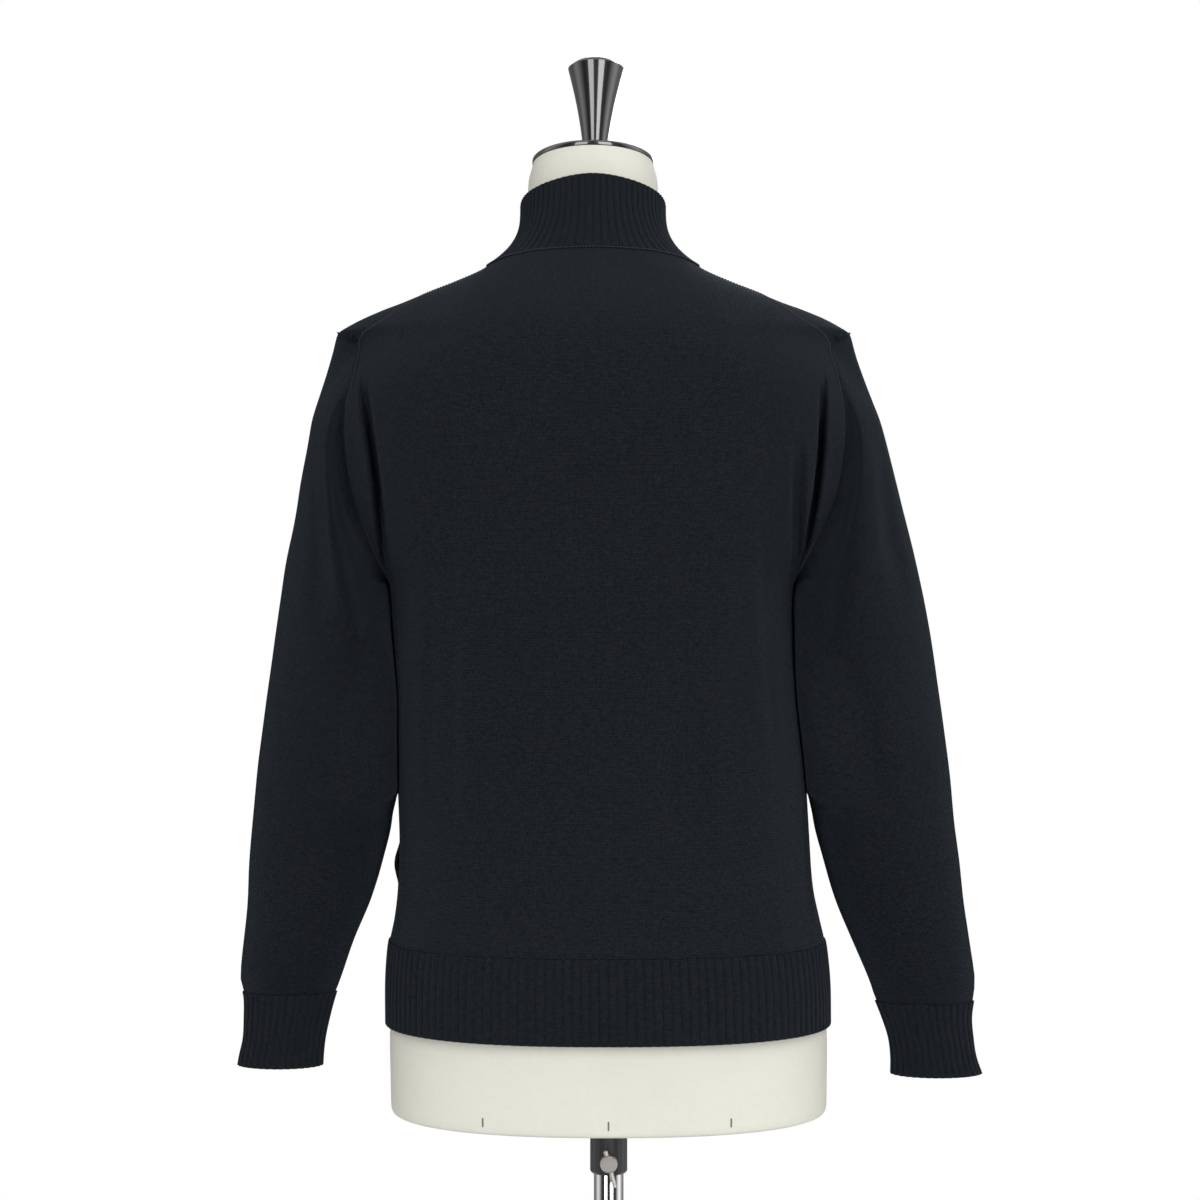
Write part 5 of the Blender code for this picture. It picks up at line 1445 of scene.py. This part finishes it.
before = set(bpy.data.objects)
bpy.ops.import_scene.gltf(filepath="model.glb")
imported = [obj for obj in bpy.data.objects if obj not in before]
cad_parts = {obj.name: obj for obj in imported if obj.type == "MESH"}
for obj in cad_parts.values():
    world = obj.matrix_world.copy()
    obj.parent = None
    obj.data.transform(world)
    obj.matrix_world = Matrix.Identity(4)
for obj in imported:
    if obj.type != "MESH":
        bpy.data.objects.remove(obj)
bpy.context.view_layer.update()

jersey = knit_paint("navy_jersey_knit", NAVY, 0.0021, 0.00165, 0.9, 0.08)
rib = knit_paint("navy_rib_knit", NAVY_RIB, 0.0022, 0.0017, 0.8, 0.07)
tape = knit_paint("zip_tape_weave", NAVY, 0.0011, 0.0007, 0.4, 0.05)
for node in ("pocket_left", "pocket_right", "zip_tape_left", "zip_tape_right"):
    dress(node, tape)
zip_metal = worn_paint("zip_dark_metal", (0.06, 0.06, 0.066), 0.32, 0.95)
lacquer = gloss_paint("gloss_black_lacquer", 0.3, 0.06, 1.95)
enamel = gloss_paint("black_enamel_coat", 0.5, 0.28, 1.4)
chrome = worn_paint("bright_chrome", STEEL, 0.07, 1.0, 90.0, 0.03)
steel = worn_paint("zinc_plated_steel", (0.52, 0.5, 0.46), 0.38, 1.0, 500.0, 0.1)
# The linking stitches' material: navy yarn whose lighter colour is a painted highlight
yarn = worn_paint("navy_yarn_painted_highlight", NAVY_YARN_HIGHLIT, 0.85, 0.0, 700.0, 0.05)

panels = body_panels()
for side, name in ((1, "left"), (-1, "right")):
    grid, normals = sleeve_shape(panels, side)
    beside = distances_from(grid, 0, False)
    dip = seam_dip(beside, SEAM_DIP, SEAM_WIDTH) + trough(grid, beside, TROUGH_DEEP[side], TROUGH_WIDE)
    dip = dip + unevenness(grid, UNEVEN, UNEVEN_SLEEVE, 2 + side)
    dip[0], dip[-1] = 0.0, 0.0
    knit_piece("sleeve_%s_knit" % name, "sleeve_" + name, grid, normals, dip, jersey, closed=True)
    cuff, piece = build_cuff(grid[-1], normals[-1], side, "cuff_%s_rib" % name, rib)
    finish_cloth(piece, "cuff_" + name, cuff, closed=True)

for name, (grid, normals) in panels.items():
    dip = np.zeros(grid.shape[:2])
    for end in ARMHOLE_ENDS[name]:
        beside = distances_from(grid, 1, end)
        dip = dip + seam_dip(beside, SEAM_DIP, SEAM_WIDTH) + trough(grid, beside, -ROLL_RISE, TROUGH_WIDE)
    dip = dip + seam_dip(distances_from(grid, 0, False), 0.5 * SEAM_DIP, SEAM_WIDTH)
    dip = dip + unevenness(grid, UNEVEN, UNEVEN_PANEL, 5)
    dip[0], dip[-1], dip[:, 0], dip[:, -1] = 0.0, 0.0, 0.0, 0.0
    knit_piece(name + "_knit", name, grid, normals, dip, jersey)
hems = build_hem(panels, rib)
collar = collar_grid(panels)
piece = ribbed_piece("collar_rib", *collar, rib, COLLAR_RIBS)
finish_cloth(piece, "collar", collar[0])
seam_lines(panels, collar, yarn)

teeth = build_teeth(*zip_path(panels, hems, collar), zip_metal)
hard_piece(teeth, "zip_chain", "torso")
for node in ("zip_slider", "zip_tab", "zip_box"):
    dress(node, zip_metal)

hard_piece(build_form(cover_paint()), "form", "torso")
form_marks(worn_paint("mark_ink", (0.13, 0.12, 0.09), 0.8))
for piece, node in zip(build_neck(lacquer), ("neck_cap", "knob")):
    hard_piece(piece, node, "torso")
pole = [(0, POLE_TOP), (POLE_RADIUS - 1.5, POLE_TOP), (POLE_RADIUS - POLE_EDGE, POLE_TOP - POLE_EDGE),
        (POLE_RADIUS, POLE_TOP - 1.5), (POLE_RADIUS, POLE_FOOT + 1), (POLE_RADIUS - 1, POLE_FOOT),
        (0, POLE_FOOT)]
hard_piece(lathe("pole_chrome", pole, chrome, Matrix.Identity(4)), "pole", "pole")
for node in ("socket", "boss", "base"):
    dress(node, enamel)
for node in ("clamp_screw", "clamp_bar"):
    dress(node, steel)

# Camera, light and floor

def build_camera(scene):
    data = bpy.data.cameras.new("camera")
    data.sensor_fit = "AUTO"
    data.angle = math.radians(CAMERA_ANGLE)
    camera = add_object("camera", data)
    camera.location = CAMERA_PLACE
    camera.rotation_euler = (math.radians(90), 0, math.radians(180))
    scene.camera = camera
    scene.view_settings.view_transform = "Standard"


def build_world(scene):
    """White to the camera; its light falls off where a real room would be dark."""
    world = bpy.data.worlds.new("white_studio")
    world.use_nodes = True
    scene.world = world
    nodes = Nodes(world)
    background = world.node_tree.nodes["Background"]
    rays = nodes.add("LightPath")
    x, y, z = nodes.parts(nodes.add("TexCoord").outputs["Generated"])
    ramp = nodes.add("ValToRGB")
    nodes.link(nodes.plus(nodes.times(y, 0.5), 0.5), ramp.inputs[0])
    steps = ramp.color_ramp.elements
    for _ in WORLD_STEPS[2:]:
        steps.new(0.5)
    for step, (position, level) in zip(steps, WORLD_STEPS):
        step.position = position
        step.color = (level, level, level, 1.0)
    around = nodes.times(ramp.outputs[0], nodes.math("SUBTRACT", 1.0, nodes.times(x, WORLD_ASIDE)))
    around = nodes.times(around, nodes.plus(1.0, nodes.times(z, WORLD_UP)))
    strength = nodes.add("Mix")
    nodes.link(rays.outputs["Is Camera Ray"], strength.inputs[0])
    nodes.link(around, strength.inputs[2])
    strength.inputs[3].default_value = 1.0
    nodes.link(strength.outputs[0], background.inputs["Strength"])
    set_inputs(background, Color=(1.0, 1.0, 1.0, 1.0))


def build_lights():
    for name, where, size, power in SOFT_BOXES:
        lamp = bpy.data.lights.new(name, "AREA")
        lamp.shape = "RECTANGLE"
        lamp.size, lamp.size_y = size
        lamp.energy = power
        holder = add_object(name, lamp)
        holder.location = where
        aim = Vector(AIM) - Vector(where)
        holder.rotation_euler = aim.to_track_quat("-Z", "Y").to_euler()


def build_floor():
    floor = bpy.data.meshes.new("floor")
    disc = bmesh.new()
    bmesh.ops.create_circle(disc, cap_ends=True, segments=96, radius=FLOOR_RADIUS)
    disc.to_mesh(floor)
    disc.free()
    floor.materials.append(new_paint("pale_floor", (0.82, 0.82, 0.82), 0.7))
    stage = add_object("floor", floor)
    stage.location = (0, 0, -0.0005)


build_camera(bpy.context.scene)
build_world(bpy.context.scene)
build_lights()
build_floor()
